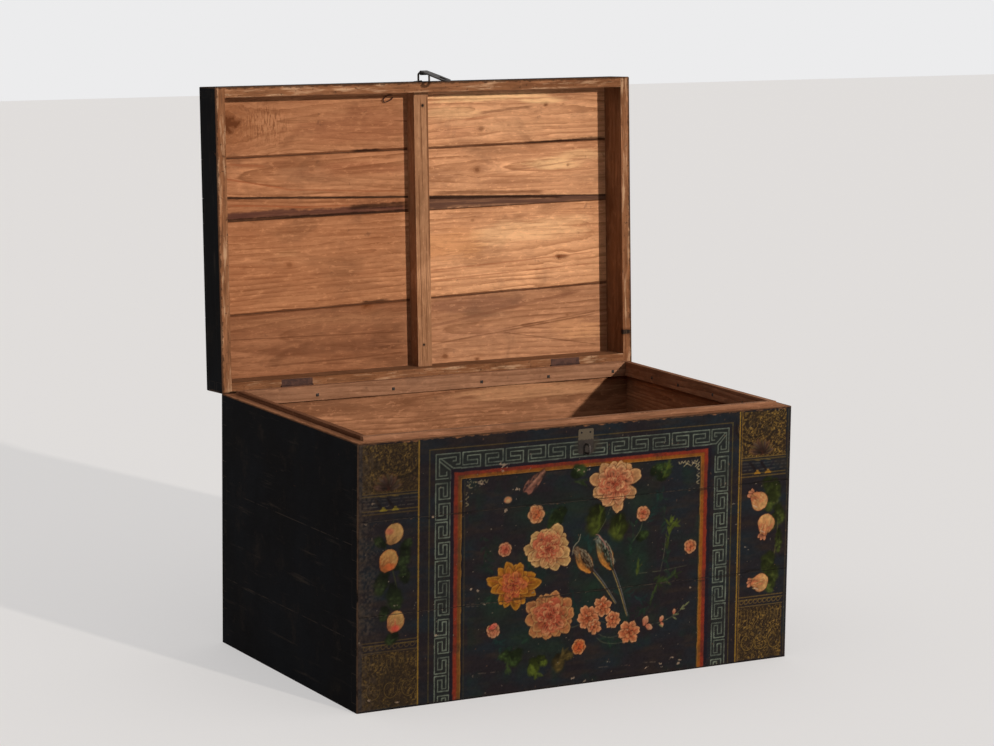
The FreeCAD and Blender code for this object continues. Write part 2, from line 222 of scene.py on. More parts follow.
class Board:
    # the wood of one board: fields along its grain, and a tone and a height that each layer changes
    def __init__(self, name, look):
        self.g = Graph(name)
        self.look = look
        self.onLid = look.get("lid", False)
        self.place = self.g.place(self.onLid)
        self.xyz = self.g.parts(self.place)
        self.along, self.across, self.depth = [self.xyz[n] for n in look["axes"]]
        self.seed = look.get("seed", 0.0)
        self.wobble = self.speckle(90.0, 3.0)

    def speckle(self, scale, detail, rough=0.55, twist=0.0):
        # noise that is the same in every direction
        return self.g.noise(self.place, scale, detail, rough, twist)

    def streaks(self, side, long, wide, start, shift, detail, rough=0.55, twist=0.0):
        # noise drawn out along the grain: long and wide are its scales along and across
        vector = self.g.join(self.along * long + start, side * wide, self.depth * wide + shift)
        return self.g.noise(vector, 1.0, detail, rough, twist)

    def lay(self, share, tone, blend="MIX"):
        self.tone = self.g.mix(share, self.tone, tone, blend)

    def oval(self, at, off, halfAlong, halfAcross):
        # distance from a spot, one on an oval round it
        return (((self.along - at) / halfAlong) ** 2.0 + ((self.across - off) / halfAcross) ** 2.0) ** 0.5

    def pushAside(self):
        # knots: each draws the grain away from its middle, has a dark core and turns of grain round it
        away, self.core, self.halo = 0.0, None, None
        for at, off, radius, force in self.look.get("knots", ()):
            gap = (((self.along - at) / 1.4) ** 2.0 + (self.across - off) ** 2.0) ** 0.5
            gap = gap + (self.wobble - 0.5) * (radius * 1.5)
            pull = (1.0 - gap / (radius * 5.0)).clamped()
            away = (self.across - off) * pull * pull * force + away
            turn = (gap * (15.0 / radius)).sine() * 0.3 + 0.5
            turn = turn * (1.0 - gap.rise(radius * 0.6, radius * 2.6)) * (0.8 * force)
            inner, outer = gap.rise(radius * 0.25, radius * 0.6), gap.rise(radius * 0.5, radius * 1.15)
            spot = ((1.0 - inner) * 0.6 + (1.0 - outer) * 0.6).clamped() * force
            self.core = spot if self.core is None else self.core.most(spot)
            self.halo = turn if self.halo is None else self.halo.most(turn)
        return away

    def grain(self):
        # growth rings: the distance from a heart line that runs askew to the face, cut into equal steps,
        # so that they show as long arches; then fibres, and light and dark patches
        look, seed = self.look, self.seed
        flow = self.across - self.pushAside()
        slow = self.streaks(flow, 1.8, 9.0, seed, seed, 2.0)
        self.drift = self.streaks(flow, 6.0, 30.0, seed, 0.0, 4.0, 0.6, 0.6)
        self.hair = self.streaks(flow, 11.0, 210.0, seed, 0.0, 3.0, 0.6, 0.3)
        self.fibre = self.streaks(flow, 60.0, 700.0, seed, 0.0, 2.0, 0.6)
        self.cloudy = self.streaks(self.across, 5.0, 14.0, seed, seed, 5.0, 0.62, 0.8)
        heart = look["heart"]
        sideGap = flow - heart["across"] + (slow - 0.5) * 0.05
        deepGap = (self.along - heart["along"]) * heart["tilt"] + self.depth - heart["plane"]
        deepGap = deepGap + (self.drift - 0.5) * 0.014
        radius = (sideGap ** 2.0 + deepGap ** 2.0) ** 0.5
        turns = (radius * look.get("rings", 120.0) + self.drift * 0.8).fraction()
        ring = turns ** 2.0 * (1.0 - turns.rise(0.94, 1.0)) * (self.cloudy.rise(0.38, 0.66) * 0.8 + 0.2)
        dark, light, line = look["tones"]
        self.tone = self.g.mix(slow.rise(0.32, 0.68) * 0.5 + self.drift.rise(0.3, 0.7) * 0.5, dark, light)
        self.lay(self.cloudy.rise(0.52, 0.7) * look.get("glow", 0.55), scaled(light, 1.17))
        self.lay((1.0 - self.cloudy.rise(0.32, 0.48)) * 0.6, scaled(dark, 0.76))
        for at, off, halfAlong, halfAcross, force, patchTone in look.get("patches", ()):
            gap = self.oval(at, off, halfAlong, halfAcross) + (self.drift - 0.5) * 1.8
            gap = gap + (self.hair - 0.5) * 1.1 + (self.cloudy - 0.5) * 1.8
            self.lay((1.0 - gap.rise(0.5, 1.15)) * force, patchTone)
        self.lay(ring * 0.8, line)
        self.lay(self.hair.rise(0.5, 0.72) * 0.36, line)
        self.lay((1.0 - self.hair.rise(0.28, 0.45)) * 0.3, scaled(light, 1.14))
        self.lay(self.fibre.rise(0.52, 0.76) * 0.34, line)
        mottle = self.streaks(self.across, 60.0, 150.0, seed, 0.0, 4.0, 0.7)
        self.lay(mottle.rise(0.52, 0.72) * 0.32, scaled(dark, 0.78))
        self.lay((1.0 - mottle.rise(0.3, 0.46)) * 0.4, scaled(light, 1.15))
        self.lay(self.speckle(13.0, 5.0, 0.65, 0.5).rise(0.54, 0.74) * 0.35, woodTones["soil"])
        self.lay(self.speckle(55.0, 3.0, 0.6).rise(0.66, 0.74) * 0.35, woodTones["soil"])
        self.height = self.hair * 0.5 + self.fibre * 0.35 - ring * 0.35 + self.cloudy * 0.4

    def blemishes(self):
        # a rippled spot, painted shade towards the left end, knots, narrow stains and painted shadow
        # lines along the grain, and nail marks
        look, g = self.look, self.g
        if "ripple" in look:
            spot = 1.0 - (self.oval(*look["ripple"]) + (self.cloudy - 0.5)).rise(0.5, 1.1)
            wave = g.noise(g.join(self.along * 380.0, self.across * 70.0, 5.0), 1.0, 3.0, 0.6, 0.6)
            darkWave, lightWave = woodTones["ripple"]
            self.lay(spot * wave.rise(0.5, 0.62) * 0.6, darkWave)
            self.lay(spot * (1.0 - wave.rise(0.36, 0.46)) * 0.5, lightWave)
            self.height = self.height + spot * wave
        # painted shade: the tone is multiplied by the shade colour where x lies below the given span
        if "shade" in look:
            paintedShadeLow, paintedShadeHigh, paintedShadeTone = look["shade"]
            self.lay(1.0 - self.xyz[0].rise(paintedShadeLow, paintedShadeHigh), paintedShadeTone, "MULTIPLY")
        if self.core is not None:
            self.lay(self.halo * 0.6, woodTones["halo"])
            self.lay(self.core * 0.9, look.get("knotTone", woodTones["knot"]))
            self.height = self.height + self.core * 0.5
        for start, stop, offStart, offStop, half, force, stain in look.get("stains", ()):
            middle = (self.along - start) * ((offStop - offStart) / (stop - start)) + offStart
            gap = abs(self.across - middle + (self.drift - 0.5) * half * 1.8) / half
            gap = gap + (self.wobble - 0.5) * 0.9
            inRun = self.along.rise(start, start + 0.02) * (1.0 - self.along.rise(stop - 0.02, stop))
            mark = (1.0 - gap.rise(0.45, 1.0)) * inRun * (self.hair.rise(0.25, 0.6) * 0.3 + 0.7)
            self.lay(mark * force, stain)
            self.height = self.height - mark * force
        for at, off, radius in look.get("marks", ()):
            gap = self.oval(at, off, 1.0, 1.0) + (self.wobble - 0.5) * radius
            around, head = woodTones["mark"]
            self.lay((1.0 - gap.rise(radius * 0.6, radius * 2.2)) * 0.6, around)
            self.lay(1.0 - gap.rise(radius * 0.8, radius), head)

    def wornEdges(self):
        # the lid's rim is bare, rubbed pale and dark; upright corners of any board are dark
        if "rim" in self.look:
            low, rimTone = self.look["rim"]
            worn = self.speckle(60.0, 4.0, 0.6)
            onRim = 1.0 - self.xyz[2].rise(low, low + 0.0004)
            self.lay(onRim * (0.75 + worn * 0.5), rimTone, "MULTIPLY")
            rubbed = self.streaks(self.across, 14.0, 120.0, 0.0, self.seed, 5.0, 0.68)
            pale, dark, pit = woodTones["rim"]
            self.lay(onRim * rubbed.rise(0.5, 0.66) * 0.55, pale)
            self.lay(onRim * (1.0 - rubbed.rise(0.34, 0.46)) * 0.6, dark)
            self.lay(onRim * self.speckle(160.0, 4.0, 0.6).rise(0.6, 0.68) * 0.7, pit)
        ragged = (self.speckle(110.0, 5.0, 0.7) - 0.5) * 0.011
        corner = (abs(self.xyz[0]) + ragged).rise(0.3958, 0.3982).most((abs(self.xyz[1]) + ragged).rise(
            0.2508, 0.2532,
        ))
        self.lay(corner * 0.8, woodTones["corner"])

    def blackCoat(self, rough):
        # paint by position: on the outer faces, up to a wandering edge, but for chips and scrapes
        x, y, z = self.xyz
        wander = (self.speckle(90.0, 4.0, 0.65) - 0.5) * 0.0022
        cover = (abs(x) + wander).rise(0.3979, 0.3986).most((abs(y) + wander).rise(0.2529, 0.2536))
        if self.onLid:
            cover = cover.most((z + wander).rise(0.4934, 0.4941))
            cover = cover * (z + wander).rise(0.4263, 0.4270)
        else:
            cover = cover * z.rise(0.0001, 0.0003) * (1.0 - (z + wander).rise(0.4236, 0.4242))
        chip = self.speckle(46.0, 6.0, 0.72).rise(0.70, 0.715)
        scrape = self.streaks(self.across, 9.0, 130.0, 0.0, 3.0, 4.0, 0.7).rise(0.72, 0.75)
        cover = cover * (1.0 - chip.most(scrape * 0.75))
        coat = self.g.mix(self.speckle(6.0, 3.0).rise(0.35, 0.7), *coatTones["base"])
        coat = self.g.mix(self.speckle(15.0, 5.0, 0.7).rise(0.52, 0.72) * 0.8, coat, coatTones["cloud"])
        scuff = self.streaks(self.across, 5.0, 60.0, 0.0, 7.0, 6.0, 0.72)
        coat = self.g.mix(scuff.rise(0.57, 0.74) * 0.7, coat, coatTones["scuff"])
        coat = self.g.mix(self.drift.rise(0.55, 0.75) * 0.35, coat, coatTones["deep"])
        if "tails" in self.look:
            coat = self.jointWear(coat, self.look["tails"])
        self.lay(cover, coat)
        self.height = self.height * (1.0 - cover * 0.55) + cover * 0.5
        return rough + cover * (self.speckle(30.0, 4.0, 0.6) * 0.2 - 0.2)

    def jointWear(self, coat, tails):
        # worn lines over the dovetails and the seams: a tail's outline is where the height off its middle
        # equals its half width, plus its flare further out; the upright corners are rubbed
        x, y, z = self.xyz
        gap = None
        for centre, half in tails["rows"]:
            one = abs(z - centre) - half
            gap = one if gap is None else gap.least(one)
        onSide = tails["onSide"]
        out = abs(y if onSide else x) - tails["root"]
        spread = tails["flare"] if onSide else out * (tails["flare"] / tails["thick"])
        slant = 1.0 - abs(gap - spread).rise(0.0003, 0.0007)
        upright = 1.0 - abs(out).rise(0.0003, 0.0007)
        inside = 1.0 - (gap - spread).rise(-0.0002, 0.0002)
        lines = (slant * out.rise(0.0, 0.0002)).most(upright * (inside if onSide else 1.0 - inside))
        for seam in tails["seams"]:
            lines = lines.most(1.0 - abs(z - seam).rise(0.0004, 0.0009))
        broken = self.speckle(26.0, 5.0, 0.7)
        coat = self.g.mix(lines * broken.rise(0.4, 0.56) * 0.75, coat, coatTones["joint"])
        ragged = (broken - 0.5) * 0.012
        edge = (abs(x) + ragged).rise(0.3965, 0.399) * (abs(y) + ragged).rise(0.2515, 0.254)
        return self.g.mix(edge * 0.65, coat, coatTones["corner"])


def wood(name, look):
    # grain, then blemishes and worn edges, then black paint on the outside of most boards
    board = Board(name, look)
    board.grain()
    board.blemishes()
    board.wornEdges()
    rough = board.fibre * 0.12 + 0.66
    if look.get("paint", True):
        rough = board.blackCoat(rough)
    relief = board.g.bump(board.height, 0.0006)
    board.g.shade(Base_Color=board.tone, Roughness=rough, Normal=relief, Specular_IOR_Level=woodShine)
    return board.g.material


def iron(name, look):
    # dark scale with warm rust where the noise is high; some pieces have a paler upper part
    g = Graph(name)
    place = g.place()
    patch = g.noise(place, 60.0, 5.0, 0.65)
    grain = g.noise(place, 900.0, 3.0, 0.6)
    tone = g.mix(patch.rise(0.42, 0.62), look["dark"], look["light"])
    tone = g.mix(grain.rise(0.5, 0.75) * 0.6, tone, look["rust"])
    if "upper" in look:
        level, upperTone = look["upper"]
        z = g.parts(place)[2] + (g.noise(place, 300.0, 3.0) - 0.5) * 0.008
        tone = g.mix(z.rise(level, level + 0.003) * (grain.rise(0.3, 0.7) * 0.4 + 0.6), tone, upperTone)
    relief = g.bump(patch * 0.6 + grain * 0.4, 0.0004)
    g.shade(
        Base_Color=tone, Roughness=grain * 0.3 + look["rough"], Metallic=look["metal"], Normal=relief,
        Specular_IOR_Level=look.get("specular", 0.4),
    )
    return g.material


tones = {
    "wall": ((132, 88, 62), (180, 128, 95), (98, 60, 38)),
    "lip": ((132, 92, 68), (164, 120, 93), (100, 63, 43)),
    # the lid's walls in darker tones than its planks: darker wood, and painted shade for their inner
    # faces
    "lidWallWoodAndShade": ((118, 80, 54), (146, 106, 78), (90, 56, 37)),
    "lidPlank": ((178, 123, 88), (212, 158, 118), (128, 80, 50)),
    "batten": ((146, 102, 72), (172, 128, 96), (112, 72, 46)),
    "bottom": ((104, 70, 44), (136, 96, 62), (78, 50, 30)),
}
alongX = (0, 2, 1)
alongXFlat = (0, 1, 2)
alongY = (1, 2, 0)
alongYFlat = (1, 0, 2)
looks = {}


def heartLine(along, across, tilt, plane):
    # where the rings' middle comes nearest to a board's face, and how steeply it runs away from it
    return {"along": along, "across": across, "tilt": tilt, "plane": plane}


def tailRows(low, high, count=2):
    # middle and half width of each tail on a board, as in the joints themselves
    spacing = (high - low) / count
    return [(low + (n + 0.5) * spacing, spacing * 0.27) for n in range(count)]


bodyRows = tailRows(0, 0.1517) + tailRows(0.1517, 0.30175) + tailRows(0.30175, 0.425)
frontTails = {
    "rows": bodyRows, "onSide": False, "root": 0.3815, "thick": 0.0185, "flare": 0.00296,
    "seams": (0.1517, 0.30175),
}
sideTails = {
    "rows": bodyRows, "onSide": True, "root": 0.2365, "thick": 0.0185, "flare": 0.00296,
    "seams": (bodyRows[1][0], bodyRows[3][0]),
}
lidRows = tailRows(0.4255, 0.4815)
lidFrontTails = {
    "rows": lidRows, "onSide": False, "root": 0.3825, "thick": 0.0175, "flare": 0.0028,
    "seams": (0.4815,),
}
lidSideTails = {
    "rows": lidRows, "onSide": True, "root": 0.2375, "thick": 0.0175, "flare": 0.0028, "seams": (0.4815,),
}
for row, name in enumerate(("lower", "middle", "upper")):
    middle = (0.075, 0.227, 0.385)[row]
    for side, axes, plane in (
        ("front", alongX, -0.246), ("back", alongX, 0.2365), ("left", alongY, -0.3815),
        ("right", alongY, 0.3815),
    ):
        looks["%s_board_%s" % (side, name)] = {
            "axes": axes, "tones": tones["wall"], "seed": row * 3.7 + len(side),
            "tails": frontTails if axes is alongX else sideTails,
            "heart": heartLine((0.17, -0.3, 0.17)[row], middle, (0.05, 0.07, 0.045)[row], plane),
        }
looks["back_board_upper"]["patches"] = (
    (0.17, 0.39, 0.16, 0.013, 0.6, (202, 150, 110)), (-0.25, 0.40, 0.1, 0.012, 0.3, (122, 82, 60)),
)
for n, side in enumerate(("front", "back")):
    looks[side + "_lip"] = {
        "axes": alongXFlat, "tones": tones["lip"], "seed": 11.0 + n, "paint": False,
        "heart": heartLine(0.1, (-0.26, 0.26)[n], 0.03, 0.46),
    }
for n, side in enumerate(("left", "right")):
    looks[side + "_lip"] = {
        "axes": alongYFlat, "tones": tones["lip"], "seed": 14.0 + n, "paint": False,
        "heart": heartLine(0.0, (-0.4, 0.4)[n], 0.03, 0.46),
    }
# painted shade: the left lip in darker tones than the other lips, as it lies in shade
looks["left_lip"]["tones"] = ((98, 62, 44), (122, 82, 60), (72, 42, 28))
# painted shadow: a dark line along the inside of the back and right boards at the lips' lower edge
for side, reachOf in (("back", 0.38), ("right", 0.235)):
    looks[side + "_board_upper"]["stains"] = (
        (-reachOf, reachOf, 0.4052, 0.4052, 0.0026, 0.9, (58, 34, 22)),
    )
for n in range(4):
    across = -0.184 + n * 0.1228
    looks["bottom_board_%d" % (n + 1)] = {
        "axes": alongXFlat, "tones": tones["bottom"], "seed": 20.0 + n, "paint": False,
        "heart": heartLine(-0.2 + n * 0.15, across, 0.06, 0.01),
        "marks": [(x, across + y, 0.0032) for x in (-0.386, 0.386) for y in (-0.035, 0.035)],
    }
lidRim = (0.4259, (255, 243, 235))
for n, side in enumerate(("front", "back")):
    looks["lid_%s_wall" % side] = {
        "axes": alongX, "tones": tones["lidWallWoodAndShade"], "seed": 30.0 + n, "lid": True, "rim": lidRim,
        "tails": lidFrontTails, "heart": heartLine(-0.1 + n * 0.3, 0.47, 0.04, (-0.22, 0.22)[n]),
    }
for n, side in enumerate(("left", "right")):
    looks["lid_%s_wall" % side] = {
        "axes": alongY, "tones": tones["lidWallWoodAndShade"], "seed": 33.0 + n, "lid": True, "rim": lidRim,
        "tails": lidSideTails, "heart": heartLine(-0.1 + n * 0.2, 0.47, 0.04, (-0.36, 0.36)[n]),
    }
# knots: along, across, radius, force; stains and painted shadow lines: from, to, across at both, half
# width, force, tone;
# patches: along, across, half length, half width, force, tone
plankKnots = {
    1: (
        (-0.356, -0.192, 0.021, 1.25), (-0.366, -0.189, 0.007, 1.6), (0.13, -0.17, 0.006, 0.6),
        (0.262, -0.208, 0.004, 0.8),
    ),
    2: ((0.12, -0.098, 0.006, 0.7), (0.305, -0.1, 0.003, 0.6), (-0.2, -0.11, 0.004, 0.3)),
    4: ((0.285, 0.062, 0.0055, 1.0), (-0.245, 0.05, 0.005, 0.5), (0.11, -0.01, 0.004, 0.5)),
    5: (
        (-0.099, 0.127, 0.008, 1.0), (0.052, 0.226, 0.005, 0.7), (0.115, 0.235, 0.004, 0.8),
        (0.3, 0.168, 0.003, 0.4),
    ),
}
darkStain, blackStain, redStain = (92, 54, 34), (46, 28, 20), (146, 84, 54)
pale, rosy, brownish = (238, 192, 142), (176, 116, 86), (150, 104, 76)
plankStains = {
    1: (
        (-0.40, 0.40, -0.1346, -0.1448, 0.0022, 0.95, darkStain),
        (-0.13, -0.06, -0.1372, -0.138, 0.004, 0.9, blackStain),
        (0.21, 0.39, -0.139, -0.1465, 0.0045, 0.9, blackStain),
        (0.09, 0.16, -0.186, -0.19, 0.003, 0.5, redStain),
        (0.12, 0.24, -0.196, -0.206, 0.003, 0.55, darkStain),
        (-0.05, 0.0, -0.19, -0.186, 0.0016, 0.5, darkStain),
    ),
    2: (
        (-0.40, 0.40, -0.1326, -0.1428, 0.0016, 0.9, darkStain),
        (-0.40, 0.40, -0.0694, -0.0433, 0.002, 0.9, blackStain),
        (-0.38, -0.24, -0.104, -0.078, 0.002, 0.7, redStain),
        (-0.26, -0.02, -0.078, -0.066, 0.0018, 0.55, redStain),
        (0.16, 0.36, -0.09, -0.112, 0.0016, 0.5, brownish),
        (0.03, 0.26, -0.0615, -0.0545, 0.004, 0.6, darkStain),
        (-0.36, -0.28, -0.125, -0.118, 0.003, 0.5, redStain),
    ),
    3: (
        (-0.40, 0.40, -0.0684, -0.0423, 0.002, 0.9, blackStain),
        (-0.40, -0.01, -0.0362, -0.0385, 0.0088, 0.93, (80, 49, 42)),
        (-0.40, -0.005, -0.0295, -0.033, 0.0034, 0.95, blackStain),
        (-0.14, -0.01, -0.043, -0.045, 0.006, 0.85, blackStain),
        (-0.005, 0.42, -0.045, -0.040, 0.032, 0.97, (88, 61, 50)),
        (0.0, 0.3, -0.0545, -0.0455, 0.0045, 0.95, blackStain),
        (-0.36, -0.2, -0.056, -0.046, 0.0022, 0.75, redStain),
        (-0.24, -0.12, -0.0475, -0.0465, 0.0018, 0.7, redStain),
    ),
    4: (
        (-0.40, 0.40, -0.0272, -0.0357, 0.0018, 0.9, darkStain),
        (-0.12, -0.05, 0.1235, 0.1215, 0.0045, 0.95, blackStain),
        (-0.40, 0.40, 0.1306, 0.1122, 0.002, 0.9, darkStain),
        (0.02, 0.36, 0.074, 0.058, 0.0016, 0.45, redStain),
        (0.02, 0.36, 0.092, 0.078, 0.0014, 0.45, redStain),
        (0.06, 0.07, -0.024, 0.0, 0.004, 0.5, darkStain),
    ),
    5: (
        (-0.40, 0.40, 0.1326, 0.1142, 0.002, 0.9, darkStain),
        (0.0, 0.34, 0.176, 0.124, 0.0035, 0.5, (124, 80, 58)),
        (0.02, 0.37, 0.205, 0.168, 0.0018, 0.5, darkStain),
        (-0.4, -0.02, 0.171, 0.178, 0.0016, 0.5, darkStain),
        (-0.3, -0.02, 0.222, 0.214, 0.002, 0.5, darkStain),
        (0.16, 0.37, 0.186, 0.164, 0.0016, 0.5, darkStain),
        (0.16, 0.37, 0.19, 0.226, 0.0016, 0.45, darkStain),
    ),
}
plankPatches = {
    1: (
        (0.13, -0.224, 0.125, 0.009, 0.95, pale), (0.24, -0.216, 0.05, 0.007, 0.8, pale),
        (-0.1, -0.18, 0.12, 0.03, 0.35, rosy), (0.31, -0.226, 0.04, 0.01, 0.5, brownish),
        (0.2, -0.172, 0.1, 0.012, 0.35, (206, 156, 116)), (0.1, -0.148, 0.06, 0.007, 0.5, brownish),
        (0.08, -0.2, 0.07, 0.012, 0.4, pale), (0.08, -0.165, 0.06, 0.018, 0.3, rosy),
    ),
    2: (
        (0.255, -0.102, 0.08, 0.012, 0.75, pale), (0.33, -0.118, 0.05, 0.01, 0.5, pale),
        (0.05, -0.09, 0.05, 0.02, 0.65, brownish), (0.13, -0.1, 0.03, 0.012, 0.6, brownish),
        (0.2, -0.075, 0.08, 0.008, 0.4, brownish), (-0.3, -0.12, 0.06, 0.008, 0.5, (130, 84, 58)),
        (-0.22, -0.1, 0.07, 0.014, 0.45, (196, 148, 112)), (-0.1, -0.105, 0.1, 0.016, 0.35, rosy),
    ),
    4: (
        (0.225, 0.018, 0.105, 0.02, 0.7, (232, 182, 136)), (0.3, 0.0, 0.06, 0.012, 0.5, (232, 182, 136)),
        (0.29, 0.062, 0.022, 0.006, 0.8, darkStain), (0.2, 0.1, 0.15, 0.006, 0.4, brownish),
        (-0.25, 0.03, 0.03, 0.008, 0.5, (214, 166, 122)), (-0.1, 0.09, 0.1, 0.012, 0.35, brownish),
        (-0.3, 0.09, 0.06, 0.02, 0.3, brownish), (0.06, 0.03, 0.06, 0.03, 0.4, (214, 150, 98)),
        (-0.2, 0.03, 0.15, 0.03, 0.25, (206, 152, 112)), (0.1, -0.02, 0.05, 0.01, 0.4, brownish),
    ),
    5: (
        (-0.2, 0.148, 0.18, 0.011, 0.45, (184, 136, 100)), (-0.15, 0.196, 0.18, 0.01, 0.5, (112, 74, 54)),
        (0.33, 0.2, 0.06, 0.016, 0.5, (210, 156, 112)), (0.12, 0.135, 0.13, 0.016, 0.65, (138, 94, 72)),
        (0.1, 0.19, 0.12, 0.016, 0.45, (168, 118, 90)), (0.3, 0.19, 0.07, 0.02, 0.6, (204, 148, 106)),
        (-0.2, 0.18, 0.14, 0.03, 0.35, (150, 102, 74)),
    ),
}
plankHearts = {
    1: (0.05, -0.19, 0.05), 2: (0.45, -0.102, 0.055), 3: (0.5, -0.1, 0.05), 4: (-0.2, 0.03, 0.06),
    5: (0.46, 0.176, 0.06),
}
for n in range(1, 6):
    at, off, tilt = plankHearts[n]
    looks["lid_plank_%d" % n] = {
        "axes": alongXFlat, "tones": tones["lidPlank"], "seed": 40.0 + n * 2.3, "lid": True,
        "heart": heartLine(at, off, tilt, 0.4815), "knots": plankKnots.get(n, ()),
        "stains": plankStains[n], "patches": plankPatches.get(n, ()),
        # painted shade: each plank is darker to the left of the batten
        "shade": (-0.05, 0.03, (214, 202, 196)),
        "marks": [(x, off, 0.0024) for x in (-0.391, -0.002, 0.391)], "rings": 105.0,
    }
looks["lid_plank_1"]["ripple"] = (-0.285, -0.189, 0.05, 0.036)
looks["lid_plank_1"]["knotTone"] = (98, 56, 33)
looks["lid_plank_1"]["marks"] += [(-0.3695, -0.186, 0.0048), (-0.3665, -0.2, 0.0022)]
looks["lid_plank_4"]["tones"] = ((186, 129, 92), (218, 163, 121), (134, 84, 52))
looks["lid_plank_5"]["tones"] = ((158, 108, 78), (190, 139, 104), (116, 73, 48))
looks["lid_right_wall"]["marks"] = ((0.199, 0.4275, 0.0045),)
looks["lid_batten"] = {
    "axes": alongYFlat, "tones": tones["batten"], "seed": 55.0, "lid": True, "paint": False,
    "rings": 260.0, "glow": 0.8, "heart": heartLine(0.05, -0.03, 0.03, 0.46),
    "marks": ((-0.214, 0.001, 0.0024), (0.2, -0.004, 0.002)),
    "stains": (
        (-0.24, 0.06, 0.0095, 0.0105, 0.0016, 0.85, (96, 58, 36)),
        (-0.235, -0.06, -0.003, -0.001, 0.0011, 0.75, darkStain),
        (-0.1, 0.24, -0.0085, -0.007, 0.0012, 0.6, darkStain),
        (0.0, 0.24, 0.004, 0.0015, 0.001, 0.5, darkStain),
    ),
}
ironLooks = {
    "iron": {
        "dark": (42, 38, 36), "light": (70, 64, 60), "rust": (78, 54, 42), "rough": 0.4, "metal": 0.7,
    },
    "hingeIron": {
        "dark": (58, 38, 33), "light": (84, 56, 47), "rust": (108, 66, 46), "rough": 0.5, "metal": 0.05,
        "specular": 0.15,
    },
    "lockIron": {
        "dark": (32, 28, 26), "light": (44, 38, 34), "rust": (58, 46, 38), "rough": 0.5, "metal": 0.05,
        "specular": 0.12, "upper": (0.399, (79, 69, 55)),
    },
}
metals = {name: iron(name, look) for name, look in ironLooks.items()}


def dress(node, material):
    # every slot of a CAD object gets this material
    if not node.material_slots:
        node.data.materials.append(material)
    for slot in node.material_slots:
        slot.material = material


for name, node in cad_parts.items():
    if name in looks:
        dress(node, wood(name, looks[name]))
    elif "hinge" in name:
        dress(node, metals["hingeIron"])
    elif name == "lock_plate":
        dress(node, metals["lockIron"])
    else:
        dress(node, metals["iron"])
print("frame dressed")


def cloud(x, z, size, seed, octaves=1):
    # smooth random field from 0 to 1, patches about this many millimetres wide
    lattice = np.random.default_rng(seed).random((256, 256))
    total = 0.0
    for n in range(octaves):
        u = np.asarray(x) / size * 2 ** n + 41.3 + n * 7
        v = np.asarray(z) / size * 2 ** n + 67.9 + n * 5
        i, j = np.floor(u).astype(int), np.floor(v).astype(int)
        fu, fv = u - i, v - j
        fu, fv = fu * fu * (3 - 2 * fu), fv * fv * (3 - 2 * fv)
        a = lattice[i % 256, j % 256] * (1 - fu) + lattice[(i + 1) % 256, j % 256] * fu
        b = lattice[i % 256, (j + 1) % 256] * (1 - fu) + lattice[(i + 1) % 256, (j + 1) % 256] * fu
        total = total + (a * (1 - fv) + b * fv) * 0.5 ** n
    return total / (2 - 0.5 ** (octaves - 1))


def ramp(value, low, high):
    # 0 below low, 1 above high, straight between
    return np.clip((value - low) / (high - low), 0, 1)


class Canvas:
    # the painted front as rows and columns of points in millimetres, with a colour and a height at each
    def __init__(self, xs, zs):
        self.xs = xs
        self.zs = zs
        self.tone = np.zeros((len(zs), len(xs), 3))
        self.height = np.zeros((len(zs), len(xs)))

    def area(self, lowX, highX, lowZ, highZ):
        # the part of the canvas inside a box, and its points
        rows = slice(*np.searchsorted(self.zs, (lowZ, highZ)))
        columns = slice(*np.searchsorted(self.xs, (lowX, highX)))
        x, z = np.broadcast_arrays(self.xs[columns][None, :], self.zs[rows][:, None])
        return (rows, columns), x, z

    def lay(self, spot, cover, tone, lift=0.06):
        # paint of one tone or many over that part; cover is its share at each point
        part = self.tone[spot]
        part += (np.asarray(tone, float) - part) * cover[..., None]
        self.height[spot] += cover * lift


def stepped(at, turn, run, off=0.0):
    # the point that lies run ahead of at and off to the left, for a heading of turn radians
    return (
        at[0] + run * math.cos(turn) - off * math.sin(turn),
        at[1] + run * math.sin(turn) + off * math.cos(turn),
    )


def reach(x, z, points):
    # shortest distance to a chain of points, and how far along the chain that is, from 0 to 1
    points = np.asarray(points, float)
    a, b = points[:-1], points[1:]
    span = b - a
    long = (span ** 2).sum(1)
    dx, dz = x[..., None] - a[:, 0], z[..., None] - a[:, 1]
    share = np.clip((dx * span[:, 0] + dz * span[:, 1]) / np.maximum(long, 1e-9), 0, 1)
    gap = np.hypot(dx - share * span[:, 0], dz - share * span[:, 1])
    best = gap.argmin(-1)
    steps = np.concatenate([[0], np.cumsum(np.sqrt(long))])
    run = steps[best] + np.take_along_axis(share, best[..., None], -1)[..., 0] * np.sqrt(long)[best]
    return gap.min(-1), run / steps[-1]


def bend(points, steps=7):
    # smooth curve through the points
    p = np.asarray(points, float)
    if len(p) == 2:
        return p
    p = np.vstack([2 * p[0] - p[1], p, 2 * p[-1] - p[-2]])
    t = np.linspace(0, 1, steps, endpoint=False)[:, None]
    out = []
    for n in range(1, len(p) - 2):
        a, b, c, d = p[n - 1:n + 3]
        square, cube = a - 2.5 * b + 2 * c - d / 2, 1.5 * (b - c) + (d - a) / 2
        out.append(b + (c - a) * t / 2 + square * t ** 2 + cube * t ** 3)
    return np.vstack(out + [p[-2:-1]])


